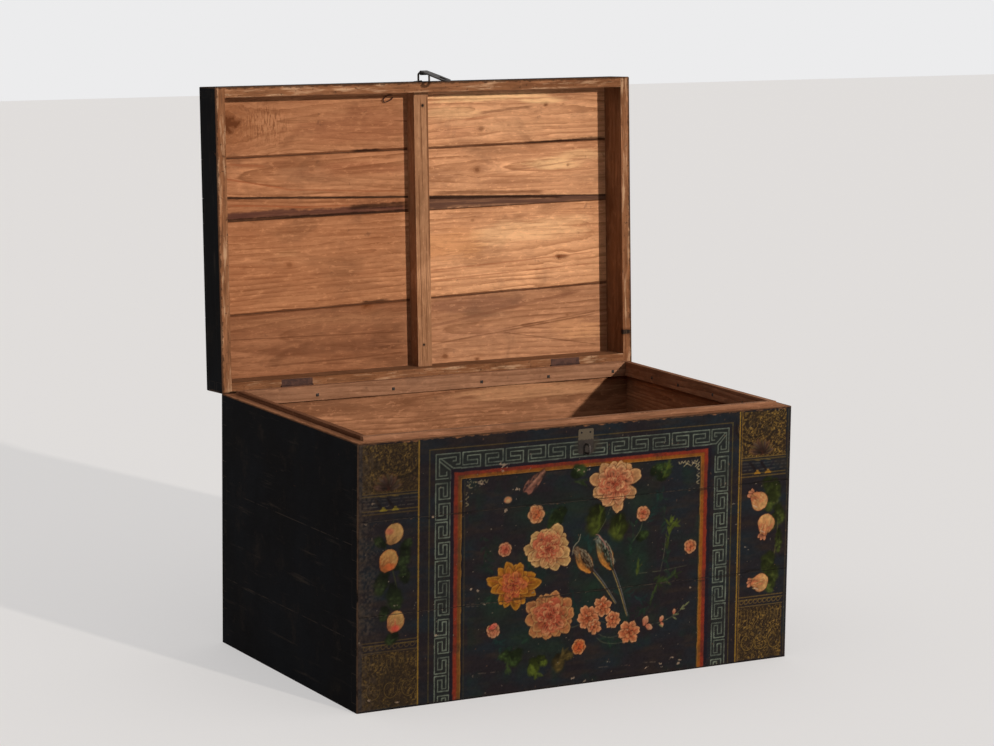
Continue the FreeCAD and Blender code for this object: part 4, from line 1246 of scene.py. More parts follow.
# flowers: outer petals one by one as angle, length and width
flowers = (
    {
        "at": (60, 323.5), "seed": 1, "core": 31, "ruffles": 30, "arcs": 46,
        "tints": ((172, 96, 71), (216, 170, 124)),
        "ink": ((164, 76, 59), (226, 188, 142), (128, 58, 43), (206, 156, 118)),
        "rings": (
            {
                "petals": (
                    (164, 52, 21), (128, 42, 21), (92, 38, 23), (66, 40, 19), (43, 43, 23), (12, 50, 22),
                    (-26, 44, 23), (-54, 36, 21), (-79, 48, 23), (-110, 38, 23), (-140, 38, 21),
                    (197, 43, 21),
                ),
                "root": (138, 69, 45), "tip": (198, 151, 106), "edge": (218, 180, 131), "lobe": 0.35,
                "blunt": 0.7,
            },
            {
                "count": 8, "long": 36, "wide": 19, "turn": 20, "root": (140, 66, 47),
                "tip": (198, 145, 106), "edge": (220, 178, 135), "lobe": 0.35, "blunt": 0.7,
            },
        ),
    },
    {
        "at": (-62, 229), "seed": 2, "core": 27, "ruffles": 26, "arcs": 44,
        "tints": ((170, 88, 65), (216, 174, 120)), "ink": ((156, 70, 57), (222, 180, 128), (132, 58, 43)),
        "rings": (
            {
                "petals": (
                    (176, 46, 21), (152, 38, 19), (134, 40, 22), (108, 33, 21), (84, 34, 19),
                    (59, 43, 22), (34, 38, 19), (14, 41, 21), (-12, 43, 20), (-38, 46, 22), (-66, 38, 21),
                    (-96, 35, 21), (222, 37, 21), (198, 38, 19),
                ),
                "root": (141, 74, 45), "tip": (204, 166, 112), "edge": (224, 190, 136), "lobe": 0.35,
                "blunt": 0.7,
            },
            {
                "count": 8, "long": 31, "wide": 17, "turn": 24, "root": (146, 67, 48),
                "tip": (206, 158, 108), "edge": (224, 186, 134), "lobe": 0.35, "blunt": 0.7,
            },
        ),
    },
    {
        "at": (-125, 176), "seed": 3, "core": 20, "ruffles": 18, "arcs": 40,
        "tints": ((162, 80, 53), (196, 130, 66)),
        "ink": ((160, 78, 66), (212, 156, 70), (126, 56, 38), (176, 96, 80)),
        "rings": (
            {
                "petals": (
                    (165, 51, 21), (188, 42, 19), (136, 39, 19), (108, 42, 19), (84, 34, 17),
                    (64, 39, 20), (38, 35, 17), (22, 46, 19), (-2, 50, 20), (-25, 46, 19), (-59, 40, 21),
                    (-84, 42, 19), (-110, 36, 19), (-135, 38, 21),
                ),
                "root": (122, 57, 23), "tip": (161, 108, 33), "edge": (181, 135, 57), "lobe": 0.5,
                "blunt": 0.6, "point": 0.15,
            },
            {
                "count": 8, "long": 33, "wide": 16, "turn": 18, "root": (119, 52, 31),
                "tip": (159, 100, 34), "edge": (178, 128, 53), "lobe": 0.5, "blunt": 0.6, "point": 0.15,
            },
        ),
    },
    {
        "at": (-57, 118.5), "seed": 4, "core": 30, "ruffles": 32, "arcs": 60,
        "tints": ((160, 78, 57), (204, 150, 108)), "ink": ((164, 72, 55), (214, 168, 122), (126, 52, 40)),
        "rings": (
            {
                "petals": (
                    (147, 47, 23), (122, 38, 20), (97, 40, 21), (73, 41, 22), (50, 38, 19), (30, 45, 22),
                    (5, 46, 22), (-19, 42, 19), (-42, 45, 21), (-67, 38, 21), (-98, 41, 22),
                    (-122, 38, 19), (-143, 44, 22), (180, 46, 22), (162, 40, 19),
                ),
                "root": (119, 56, 35), "tip": (171, 115, 74), "edge": (192, 153, 102), "lobe": 0.35,
                "blunt": 0.7,
            },
            {
                "count": 9, "long": 35, "wide": 18, "turn": 14, "root": (119, 56, 35),
                "tip": (171, 115, 74), "edge": (192, 153, 102), "lobe": 0.35, "blunt": 0.7,
            },
        ),
    },
)
for look in flowers:
    flower(art, look)
blossoms = (
    ((14, 108), 21, 5), ((41, 124), 17, 6), ((61, 100), 15, 7), ((92, 76), 20, 8), ((26, 92), 13, 9),
)
for at, size, seed in blossoms:
    flower(
        art,
        {
            "at": at, "seed": seed + 20, "core": size * 0.5, "arcs": 12,
            "ink": ((206, 156, 108), (160, 78, 50), (150, 70, 46)),
            "rings": (
                {
                    "count": 6, "long": size * 1.04, "wide": size * 0.74, "turn": seed * 23,
                    "root": (160, 80, 52), "tip": (202, 132, 92), "edge": (224, 176, 134), "blunt": 0.64,
                    "lobe": 1.0,
                },
                {
                    "count": 4, "long": size * 0.5, "wide": size * 0.4, "turn": seed * 31,
                    "root": (160, 76, 48), "tip": (186, 106, 70), "edge": (204, 146, 104),
                },
            ),
        },
    )
    disc(art, (at[0] - 3, at[1] + 4), 1.8, 1.4, (214, 196, 172), (196, 156, 120), 0.7)
for at, angle, size in (
    ((120, 84), 70, 17), ((124, 84), 330, 14), ((151, 87), 60, 11), ((153, 86), 290, 9),
    ((177, 97), 80, 9),
):
    petal(
        art, at, angle, size, size * 0.72, (186, 112, 88), (204, 150, 122), 0.3, (210, 170, 138), 0.15,
        0.55, 1.0, 0.3,
    )
for chain in (
    ((150, 82), (156, 78)), ((176, 96), (186, 96)), ((190, 103), (196, 110)), ((190, 104), (198, 104)),
    ((176, 92), (182, 88)), ((196, 108), (206, 114)),
):
    stroke(art, chain, 2.6, (112, 120, 84), cover=0.75)
buds = (
    ((-84, 287), 15, (186, 98, 60), (198, 146, 104)), ((-140, 235), 12, (180, 82, 66), (192, 128, 98)),
    ((-160, 106), 12, (186, 120, 90), (192, 128, 98)), ((-2, 62), 13, (172, 74, 40), (186, 110, 62)),
    ((115, 270), 13, (180, 98, 68), (198, 142, 104)), ((206.5, 207), 12, (182, 96, 62), (196, 138, 98)),
)
for n, (at, size, middle, rim) in enumerate(buds):
    flower(
        art,
        {
            "at": at, "seed": 40 + n, "core": size * 0.55, "arcs": 14,
            "ink": (middle, rim, (158, 70, 52)),
            "rings": (
                {
                    "count": 6, "long": size * 1.02, "wide": size * 1.0, "turn": n * 17, "root": middle,
                    "tip": rim, "edge": (204, 162, 122), "blunt": 0.55, "lobe": 0.3,
                },
                {
                    "count": 4, "long": size * 0.6, "wide": size * 0.7, "turn": n * 29, "root": middle,
                    "tip": middle, "edge": rim, "lobe": 0,
                },
            ),
        },
    )
petal(art, (-168, 110), 20, 16, 9, (198, 84, 74), (206, 120, 100), 0, None)
petal(
    art, (-70, 356), 222, 50, 21, (146, 104, 90), (116, 74, 68), 0.8, (150, 110, 94), 0.3, 0.72, 0.85,
    0.1,
)
stroke(art, ((-72, 354), (-88, 342), (-98, 330)), 4.0, (158, 116, 102), cover=0.6, gaps=0.45)
for chain in (
    ((-66, 352), (-84, 334), (-96, 318)), ((-80, 352), (-98, 338), (-108, 326)),
    ((-92, 350), (-104, 334)), ((-84, 330), (-92, 318)),
):
    stroke(art, chain, 4.5, (34, 28, 32), cover=0.75, gaps=0.5)
disc(art, (-136, 315), 7, 5.5, (196, 164, 120), (168, 124, 94), 0.9, 2)
stroke(art, ((-142, 312), (-137, 318), (-131, 315)), 1.6, (188, 96, 66), cover=0.7)

# two slender birds, head upwards: tail, breast, dark wing with pale feather strokes, head, beak and crest
birds = (
    {
        "head": (-10, 224), "end": (17, 185), "tail": (66, 127), "wide": 27, "wing": (62, 48, 38),
        "mark": (158, 148, 126), "breast": (136, 100, 66), "belly": (190, 124, 50),
        "crown": (104, 84, 68), "back": (150, 146, 130),
        "crest": ((-2, 247), (-5, 237), (-14, 228), (-17, 215)),
    },
    {
        "head": (30, 238), "end": (56, 186), "tail": (88, 104), "wide": 27, "wing": (40, 50, 42),
        "mark": (170, 176, 164), "breast": (98, 98, 78), "belly": (184, 118, 48), "crown": (88, 96, 92),
        "back": (186, 132, 128), "crest": ((26, 244), (32, 242), (40, 232), (46, 222)),
    },
)
for n, bird in enumerate(birds):
    head, stop, tail = [np.array(bird[k], float) for k in ("head", "end", "tail")]
    long = np.linalg.norm(stop - head)
    axis = (stop - head) / long
    side = np.array([-axis[1], axis[0]])
    lean = math.degrees(math.atan2(axis[1], axis[0]))
    root = stop - axis * 10 + side * 3
    for off, wide, tone in (
        (0.2, 4.2, (40, 36, 34)), (-1.7, 1.6, (160, 140, 92)), (1.6, 1.3, (108, 112, 118)),
    ):
        stroke(
            art, (root + side * off, (root + tail) / 2 + side * (off + 2.0), tail + side * off * 0.6),
            wide, tone, cover=0.85,
        )
    petal(
        art, head + axis * 1, lean, long * 1.04, bird["wide"], bird["breast"], bird["belly"], 0.1,
        (206, 148, 78), 0.3, 0.6, 1.0, 0.35,
    )
    petal(
        art, head + axis * 7 + side * 6.5, lean - 5, long * 0.98, bird["wide"] * 0.55, bird["wing"],
        scaled(bird["wing"], 0.8), 0.1, None, 0.4, 0.5, 0.95, 0.6,
    )
    disc(
        art, head + axis * 3 - side * 0.5, 6.2, 6.8, bird["crown"], scaled(bird["crown"], 0.75), 0.95,
        2.5,
    )
    rng = np.random.default_rng(500 + n)
    for _ in range(44):
        share = rng.uniform(0.15, 0.9)
        start = head + axis * share * long + side * rng.uniform(0.5, 12)
        stroke(
            art, (start, start + axis * rng.uniform(2, 5) - side * rng.uniform(-0.5, 1.5)),
            rng.uniform(0.7, 1.2), bird["mark"], cover=rng.uniform(0.25, 0.75),
        )
    for _ in range(16):
        start = head + axis * rng.uniform(0.4, 0.9) * long - side * rng.uniform(-1, 10.5)
        stroke(
            art, (start, start + axis * rng.uniform(4, 7)), 1.3,
            ((212, 154, 84), (156, 88, 36))[rng.integers(2)], cover=0.5,
        )
    for _ in range(16):
        start = head + axis * rng.uniform(0.02, 0.38) * long - side * rng.uniform(-4, 7)
        stroke(art, (start, start + axis * rng.uniform(2, 5)), 1.1, bird["mark"], cover=0.5)
    for off, tone in ((9, bird["back"]), (12.5, bird["mark"])):
        stroke(
            art,
            (
                head + side * 3, head + axis * long * 0.4 + side * off,
                head + axis * long * 0.9 + side * off * 0.7,
            ),
            1.3, tone, cover=0.7, gaps=0.3,
        )
    stroke(art, bird["crest"], 1.4, bird["back"], cover=0.85)
    stroke(art, (head - side * 3, head - side * 8 - axis * 1.5), 1.4, (120, 104, 84), cover=0.8)
    disc(art, head - side * 1.2 + axis * 0.5, 0.9, 0.9, (16, 14, 14), (24, 22, 20))
print("flowers and birds painted")

# corner scrolls in fine pale strokes, partly flaked away
for edge, top, hand, tone, gaps in (
    (-212, 351, 1, (150, 140, 112), 0.5), (221, 350, -1, (190, 178, 142), 0.4),
):
    for n in range(6):
        u, v = edge + hand * (3 + n * 6.2), top - 4 - n * 6.0
        stroke(
            art, ((u, top), (u + hand * 3, top - 3 - n % 2 * 2), (u + hand * 6, top - 0.5)), 1.5, tone,
            cover=0.8, gaps=gaps,
        )
        stroke(
            art, ((edge, v), (edge + hand * (3 + n % 2 * 2), v - 3), (edge + hand * 0.5, v - 6)), 1.5,
            tone, cover=0.8, gaps=gaps,
        )
    curl = [
        (edge + hand * (10 + math.cos(a) * 4.5), top - 8 + math.sin(a) * 3)
        for a in np.linspace(0, 5, 8)
    ]
    stroke(art, curl, 1.6, tone, cover=0.8, gaps=gaps)
    stroke(
        art, ((edge + hand * 16, top - 9), (edge + hand * 24, top - 5), (edge + hand * 30, top - 9)), 1.7,
        tone, cover=0.8, gaps=gaps,
    )
    stroke(
        art, ((edge - hand * 1.5, 4), (edge - hand * 1.5, top + 2)), 1.0, (92, 82, 44), cover=0.6,
        straight=True,
    )

# wear: rubbed patch by the lock, chips down to the pale ground, scratches and cracks along the seams
rub = np.exp(-(((X - 8) / 34) ** 2 + ((Z - 392) / 20) ** 2))
art.lay(everywhere, ramp(rub + cloud(X, Z, 7, 81, 3) * 0.5, 0.7, 1.1) * 0.78, (57, 52, 47), -0.05)
outerWear = ramp(-(X + 384), 0, 14) + ramp(12 - Z, 0, 12) * 0.7
outerWear = outerWear + ramp(Z - 415, 0, 10) * 0.5 + ramp(X - 392, 0, 6) * 0.6
art.lay(everywhere, ramp(outerWear * (0.4 + cloud(X, Z, 8, 82, 3)), 0.35, 1.0) * 0.7, (56, 48, 45), -0.06)
nearSeam = np.exp(-((Z - seamLow) / 5) ** 2) + np.exp(-((Z - seamHigh) / 5) ** 2)
crack = ramp(cloud(X * 0.12, Z * 1.8, 6, 83, 3) + nearSeam * 0.1, 0.74, 0.8)
art.lay(everywhere, crack * ramp(nearSeam, 0, 0.5) * 0.5, (24, 20, 20), -0.1)
chips = cloud(X, Z, 5.0, 84, 4)
chipLimit = 0.83 - nearSeam * 0.045 - ramp(18 - Z, 0, 18) * 0.05 - ramp(np.abs(X) - 385, 0, 12) * 0.04
flake = ramp(chips, chipLimit, chipLimit + 0.015)
chipTone = np.where((cloud(X, Z, 60, 85) > 0.45)[..., None], (126, 118, 108), (92, 70, 56))
art.lay(everywhere, flake * 0.75, chipTone, -0.3)
fine = ramp(cloud(X, Z, 2.4, 86, 2), 0.93, 0.97)
art.lay(everywhere, fine * 0.35, (112, 104, 94), -0.1)
bites = (
    (-200, 177, 2.6), (-187, 174, 2.4), (-205, 157, 2.2), (-12, 12, 3), (126, 14, 3), (152, 15, 3),
    (209, 138, 2), (-121, 330, 4.5), (-140, 297, 3.6), (-143, 292, 2.4), (-195.6, 334.7, 3),
    (-184, 346, 4.5), (-207, 354, 3), (206, 346, 3), (-8, 352, 2.6), (3, 349, 2.4), (12, 353, 3.4),
    (60, 14, 2.4), (-143.5, 372, 6), (-146, 363, 2.4), (-330, 12, 3), (176, 22, 3.4), (-380, 20, 3),
    (-386, 300, 2.6), (-375, 330, 2.4), (-210, 300, 2.4), (-66, 372, 2.2), (-2, 368, 2), (-262, 110, 2.6),
    (-270, 300, 2.4), (-300, 60, 2.2), (188, 15, 5),
)
for u, v, size in bites:
    spot, x, z = art.area(u - 16, u + 16, v - 14, v + 14)
    near = ramp(1.2 - np.hypot((x - u) / 1.5, z - v) / size, 0, 1)
    grit = cloud(x * 0.7, z, 2.0, int(abs(u)) % 50, 2)
    bite = ramp(grit + near * 0.36, 0.8, 0.88) * ramp(near, 0, 0.15)
    art.lay(spot, bite * 0.8, (176, 156, 140), -0.3)
for chain in (
    ((-224, 152.5), (-196, 153.5), (-150, 151)), ((-210, 150), (-188, 149)), ((120, 151), (190, 152.5)),
    ((-90, 303), (-40, 301)), ((150, 302), (230, 303)), ((-380, 151), (-320, 152)), ((30, 24), (90, 21)),
    ((120, 22), (150, 20)), ((-200, 40), (-150, 38)),
):
    stroke(art, chain, 1.2, (116, 104, 92), cover=0.5, rough=0.9, gaps=0.45)
edgeScuff = ramp(-366 - X + 22 * cloud(X, Z, 12, 88, 3), 0, 26) * ramp(cloud(X, Z, 3.4, 89, 3), 0.35, 0.7)
art.lay(everywhere, edgeScuff * 0.5, (78, 68, 60), -0.1)
art.lay(everywhere, ramp(Z + cloud(X, Z, 9, 87, 3) * 6, 425.6, 426.4), (134, 94, 68), -0.2)
# aged varnish: warmer, and it dulls the pale tones most; painted shade: darker towards the left
bright = ramp(art.tone.mean(-1), 60, 150)[..., None]
varnishAndPaintedShade = (0.86 + 0.1 * (X[..., None] + 400) / 800) * (1 - 0.19 * bright)
art.tone *= varnishAndPaintedShade * np.array([1.0, 0.96, 0.9])
art.tone *= (0.86 + 0.28 * cloud(X, Z, 3.4, 91, 3) + 0.06 * (cloud(X * 0.1, Z, 1.6, 92) - 0.5))[..., None]
art.height += (cloud(X * 0.12, Z, 3.5, 93, 2) - 0.5) * 0.12 + (cloud(X, Z, 90, 94, 2) - 0.5) * 0.1


def paintedSkin():
    # the painting's colours from the mesh, fine pale dust over them, and a web of cracks in the varnish
    g = Graph("paintedFront")
    art = g.add("ShaderNodeAttribute", {"attribute_name": "art"}, {}, "Color")
    place = g.place()
    fine = g.noise(place, 700.0, 3.0, 0.6)
    slow = g.noise(place, 40.0, 4.0, 0.6)
    tone = g.mix(fine.rise(0.62, 0.8) * 0.25, art, (70, 62, 56))
    web = g.add(
        "ShaderNodeTexVoronoi", {"feature": "DISTANCE_TO_EDGE"}, {"Vector": place, "Scale": 160.0},
    )
    line = (1.0 - web.rise(0.0, 0.05)) * slow.rise(0.5, 0.62)
    tone = g.mix(line * 0.35, tone, (18, 15, 15))
    height = fine * 0.3 - line * 0.5
    g.shade(
        Base_Color=tone, Roughness=slow * 0.2 + 0.55, Normal=g.bump(height, 0.0002),
        Specular_IOR_Level=0.02,
    )
    return g.material


def addPiece(name, points, faces, material, body, smooth=True):
    # mesh from points in millimetres, riding on a CAD body
    mesh = bpy.data.meshes.new(name)
    mesh.from_pydata((np.asarray(points, float) / 1000).tolist(), [], [list(map(int, f)) for f in faces])
    mesh.materials.append(material)
    mesh.polygons.foreach_set("use_smooth", np.full(len(mesh.polygons), smooth))
    mesh.update()
    thing = bpy.data.objects.new(name, mesh)
    bpy.context.scene.collection.objects.link(thing)
    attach(thing, body)
    return thing


# one thin closed skin per board: a fine front, four narrow sides, a back of long strips
skinMaterial = paintedSkin()
first = 0
for name, zs in zip(("lower", "middle", "upper"), rows):
    nz, nx = len(zs), len(xs)
    part = slice(first, first + nz)
    first += nz
    gx, gz = np.meshgrid(xs, zs)
    inset = np.minimum(np.minimum(gz - zs[0], zs[-1] - gz), np.minimum(gx - xs[0], xs[-1] - gx))
    fall = bodyFace["edgeFall"] * np.exp(-inset / bodyFace["edgeWide"])
    relief = np.clip(art.height[part], -bodyFace["relief"], bodyFace["relief"])
    front = -chest["halfDepth"] - bodyFace["out"] - relief + fall
    # shallow hollow that the hasp's tip has rubbed: flat inside an oval, steep at its edge
    oval = np.hypot(
        (gx - bodyFace["rubAt"][0]) / bodyFace["rubHalf"][0],
        (gz - bodyFace["rubAt"][1]) / bodyFace["rubHalf"][1],
    )
    rubbed = np.exp(-oval ** 6)
    front = front * (1 - rubbed) - (chest["halfDepth"] + bodyFace["rubOut"]) * rubbed
    back = np.full(nx, -chest["halfDepth"] - bodyFace["back"])
    points = np.vstack([
        np.stack([gx, front, gz], -1).reshape(-1, 3), np.stack([xs, back, np.full(nx, zs[0])], -1),
        np.stack([xs, back, np.full(nx, zs[-1])], -1),
    ])
    grid = np.arange(nz * nx).reshape(nz, nx)
    low, high = nz * nx + np.arange(nx), nz * nx + nx + np.arange(nx)
    quads = [
        np.stack([grid[:-1, :-1], grid[:-1, 1:], grid[1:, 1:], grid[1:, :-1]], -1).reshape(-1, 4),
        np.stack([low[:-1], low[1:], grid[0, 1:], grid[0, :-1]], -1),
        np.stack([grid[-1, :-1], grid[-1, 1:], high[1:], high[:-1]], -1),
        np.stack([low[1:], low[:-1], high[:-1], high[1:]], -1),
    ]
    ends = [
        np.stack([np.full(nz - 1, low[0]), grid[:-1, 0], grid[1:, 0]], -1),
        np.stack([np.full(nz - 1, low[-1]), grid[1:, -1], grid[:-1, -1]], -1),
        [[low[0], grid[-1, 0], high[0]], [low[-1], high[-1], grid[-1, -1]]],
    ]
    faces = [f for block in quads + ends for f in np.asarray(block).tolist()]
    skin = addPiece("painting_" + name, points, faces, skinMaterial, "body")
    tone = np.vstack([art.tone[part].reshape(-1, 3), np.tile(bodyFace["under"], (2 * nx, 1))])
    colour = np.hstack([linear(np.clip(tone, 0, 255)), np.ones((len(tone), 1))])
    layer = skin.data.color_attributes.new("art", "FLOAT_COLOR", "POINT")
    layer.data.foreach_set("color", colour.ravel())
print("painted skins built")


def openLid(points):
    # a point of the shut lid turned open about the hinge line
    points = np.asarray(points, float)
    turn = math.radians(chest["openAngle"])
    dy, dz = points[..., 1] - chest["hingeY"], points[..., 2] - chest["hingeZ"]
    y = chest["hingeY"] + dy * math.cos(turn) + dz * math.sin(turn)
    z = chest["hingeZ"] - dy * math.sin(turn) + dz * math.cos(turn)
    return np.stack([points[..., 0], y, z], -1)


def ringFaces(rings, sides, start):
    # faces of a stack of rings with a cap at each end; the caps' middle points come after the rings
    grid = start + np.arange(rings * sides).reshape(rings, sides)
    turned = np.roll(grid, -1, 1)
    quads = np.stack([grid[:-1], turned[:-1], turned[1:], grid[1:]], -1).reshape(-1, 4).tolist()
    low, high = start + rings * sides, start + rings * sides + 1
    caps = np.stack([np.full(sides, low), turned[0], grid[0]], -1).tolist()
    caps += np.stack([np.full(sides, high), grid[-1], turned[-1]], -1).tolist()
    return quads + caps


def headsMesh(spots, profile, sides, seed):
    # round heads that face up: a profile of radius and height turned about each spot, a little uneven
    rng = np.random.default_rng(seed)
    points, faces = [], []
    angle = np.arange(sides) * 2 * math.pi / sides
    for at in spots:
        uneven = 1 + rng.uniform(-0.08, 0.08, sides)
        rings = [
            np.stack(
                [
                    at[0] + r * uneven * np.cos(angle), at[1] + r * uneven * np.sin(angle),
                    np.full(sides, at[2] + h),
                ],
                -1,
            )
            for r, h in profile
        ]
        ends = np.array([[at[0], at[1], at[2] + profile[0][1]], [at[0], at[1], at[2] + profile[-1][1]]])
        faces += ringFaces(len(profile), sides, sum(len(p) for p in points))
        points.append(np.vstack(rings + [ends]))
    return np.vstack(points), faces


# lid nails: flat round heads on the lid's outside, over the walls and the batten
lidNails = {"z": 495.5, "sides": 14, "profile": ((2.5, -0.3), (2.5, 0.05), (2.0, 0.12), (1.0, 0.16))}
nailSpots = [
    (x, y, lidNails["z"])
    for x in (-391.0, 391.5)
    for y in (-222, -168, -121, -74, -46, -8, 42, 96, 148, 214)
]
battenNails = (-206, -152, -96, -12, 60, 104, 150, 205)
nailSpots += [(-2 + (n % 3) * 1.5, y, lidNails["z"]) for n, y in enumerate(battenNails)]
nailSpots += [(x, y, lidNails["z"]) for x in (-310, -168, -40, 96, 232, 330) for y in (-241.0, 245.5)]
points, faces = headsMesh(nailSpots, lidNails["profile"], lidNails["sides"], 7)
addPiece("lid_nails", openLid(points), faces, metals["iron"], "lid")

# hinge screws: countersunk heads with one slot, on a square grid drawn in to a circle
screw = {
    "radius": 3.1, "rise": 0.15, "slotHalf": 0.14, "slotDeep": 0.5, "under": 0.9, "y": 243.2,
    "along": (-21.5, 0.0, 21.5), "hinges": (-262.0, 262.0), "bodyZ": 425.0, "lidZ": 425.5,
}


def screwHead(at, turn, up):
    # grid point (u, v) goes to (u sqrt(1 - v v / 2), v sqrt(1 - u u / 2)); rows near the slot are lowered
    u = np.linspace(-1, 1, 9)
    v = np.array([-1, -0.7, -0.4, -0.15, -0.13, 0.13, 0.15, 0.4, 0.7, 1.0])
    gu, gv = np.meshgrid(u, v)
    x, y = gu * np.sqrt(1 - gv ** 2 / 2), gv * np.sqrt(1 - gu ** 2 / 2)
    height = screw["rise"] * (1 - 0.5 * np.hypot(x, y) ** 4)
    height = height - np.where(np.abs(gv) < screw["slotHalf"], screw["slotDeep"], 0)
    px = at[0] + screw["radius"] * (x * math.cos(turn) - y * math.sin(turn))
    py = at[1] + screw["radius"] * (x * math.sin(turn) + y * math.cos(turn))
    top = np.stack([px, py, at[2] + up * height], -1).reshape(-1, 3)
    rows, columns = gu.shape
    grid = np.arange(rows * columns).reshape(rows, columns)
    edge = np.concatenate([grid[0, :-1], grid[:-1, -1], grid[-1, :0:-1], grid[:0:-1, 0]])
    base = top[edge].copy()
    base[:, 2] = at[2] - up * screw["under"]
    middle = [[at[0], at[1], at[2] - up * screw["under"]]]
    faces = np.stack([grid[:-1, :-1], grid[:-1, 1:], grid[1:, 1:], grid[1:, :-1]], -1)
    faces = faces.reshape(-1, 4).tolist()
    below = rows * columns + np.arange(len(edge))
    after, belowAfter = np.roll(edge, -1), np.roll(below, -1)
    faces += np.stack([edge, below, belowAfter, after], -1).tolist()
    faces += np.stack([np.full(len(edge), rows * columns + len(edge)), belowAfter, below], -1).tolist()
    if up < 0:
        faces = [f[::-1] for f in faces]
    return np.vstack([top, base, middle]), faces


def screwSet(name, z, up, seed, onLid):
    # all screws of the leaves on one body
    rng = np.random.default_rng(seed)
    points, faces = [], []
    for centre in screw["hinges"]:
        for n, along in enumerate(screw["along"]):
            spot = (centre + along, screw["y"] - (n == 1) * 1.2, z)
            some, more = screwHead(spot, rng.uniform(0, math.pi), up)
            start = sum(len(p) for p in points)
            points.append(some)
            faces += [[i + start for i in f] for f in more]
    points = np.vstack(points)
    addPiece(
        name, openLid(points) if onLid else points, faces, metals["hingeIron"],
        "lid" if onLid else "body", False,
    )


screwSet("hinge_screws_body", screw["bodyZ"], 1, 21, False)
screwSet("hinge_screws_lid", screw["lidZ"], -1, 22, True)


def tube(path, radii, sides=12):
    # ring of points square to the path at each station
    path = np.asarray(path, float)
    ahead = np.gradient(path, axis=0)
    ahead /= np.linalg.norm(ahead, axis=1)[:, None]
    side = np.cross(ahead, [0.3, 0.2, 1.0])
    side /= np.linalg.norm(side, axis=1)[:, None]
    rise = np.cross(side, ahead)
    angle = np.arange(sides) * 2 * math.pi / sides
    ring = side[:, None] * np.cos(angle)[None, :, None] + rise[:, None] * np.sin(angle)[None, :, None]
    points = (path[:, None] + ring * np.asarray(radii)[:, None, None]).reshape(-1, 3)
    points = np.vstack([points, path[:1], path[-1:]])
    return points, [f[::-1] for f in ringFaces(len(path), sides, 0)]


# nail bent over beside the hasp, on the lid's front wall
bentNail = {
    "start": (-7.0, -253.5, 438.6), "reach": 17.0, "radius": 1.1, "out": 3.4, "back": 1.1, "sway": 1.5,
    "steps": 26,
}
share = np.linspace(0, 1, bentNail["steps"])
swing = np.clip(share * 5, 0, 1)
path = np.stack(
    [
        bentNail["start"][0] - bentNail["reach"] * share ** 1.5,
        bentNail["start"][1] - bentNail["out"] * np.sin(swing * math.pi / 2) + bentNail["back"] * share,
        bentNail["start"][2] + bentNail["sway"] * np.sin(share * 2.4),
    ],
    -1,
)
points, faces = tube(path, bentNail["radius"] * (1 - 0.55 * share ** 2))
addPiece("bent_nail", openLid(points), faces, metals["iron"], "lid")

# wire loop clinched inside the lid, beside the batten
loop = {
    "middle": (-53.0, -227.0, 478.6), "long": 10.5, "wide": 4.6, "tilt": 24.0, "radius": 0.95,
    "wave": 1.2, "steps": 30, "openFrom": 0.5, "openTo": 0.35,
}
share = np.linspace(loop["openFrom"], 2 * math.pi - loop["openTo"], loop["steps"])
tilt = math.radians(loop["tilt"])
ringX, ringY = loop["long"] * np.cos(share), loop["wide"] * np.sin(share)
path = np.stack(
    [
        loop["middle"][0] + ringX * math.cos(tilt) + ringY * math.sin(tilt),
        loop["middle"][1] - ringX * math.sin(tilt) + ringY * math.cos(tilt),
        loop["middle"][2] - loop["wave"] * np.cos(share * 2),
    ],
    -1,
)
points, faces = tube(path, np.full(loop["steps"], loop["radius"]))
addPiece("lid_wire_loop", openLid(points), faces, metals["hingeIron"], "lid")

# old dirt that fills the joints between the lid's boards
dirt = Graph("jointDirt")
dirtPlace = dirt.place()
dirtTone = dirt.mix(dirt.noise(dirtPlace, 120.0, 4.0, 0.6).rise(0.35, 0.65), (34, 22, 16), (66, 42, 28))
dirtRelief = dirt.bump(dirt.noise(dirtPlace, 400.0, 3.0, 0.6), 0.0005)
dirt.shade(Base_Color=dirtTone, Roughness=0.95, Normal=dirtRelief)
joints = {
    "low": 482.3, "high": 494.2, "half": 0.24, "reach": 397.0, "steps": 60,
    "ends": ((-133.6, -143.8), (-68.9, -42.8), (-27.5, -36.2), (131.6, 113.2)),
}
points, faces = [], []
x = np.linspace(-joints["reach"], joints["reach"], joints["steps"])
for n, (left, right) in enumerate(joints["ends"]):
    y = left + (right - left) * (x + chest["halfWidth"]) / (2 * chest["halfWidth"])
    low = joints["low"] + 1.6 * cloud(x, x * 0, 9, 600 + n, 2)
    high = np.full(joints["steps"], joints["high"])
    corners = (
        (-joints["half"], low), (joints["half"], low), (joints["half"], high), (-joints["half"], high),
    )
    ring = np.stack([np.stack([x, y + side, level], -1) for side, level in corners], 1)
    ends = np.stack([ring[0].mean(0), ring[-1].mean(0)])
    faces += [f[::-1] for f in ringFaces(joints["steps"], 4, sum(len(p) for p in points))]
    points.append(np.vstack([ring.reshape(-1, 3), ends]))
addPiece("lid_joint_dirt", openLid(np.vstack(points)), faces, dirt.material, "lid", False)
print("fasteners and joint dirt built")


# camera: fitted to the chest's own corners; pixels is the width of the picture
shot = {
    "at": (-2479.4, -4421.7, 1290.8), "yaw": 29.1233, "pitch": -9.19395, "roll": 0.63621,
    "focal": 3096.78, "pixels": 994, "sensor": 36.0, "clipEnd": 100.0,
}


def placed(thing, right, up, back, at=(0.0, 0.0, 0.0)):
    # thing's own axes and its place in metres as the columns of its matrix
    pose = np.eye(4)
    for column, vector in enumerate((right, up, back, at)):
        pose[:3, column] = vector
    thing.matrix_world = Matrix(pose.tolist())
    bpy.context.scene.collection.objects.link(thing)


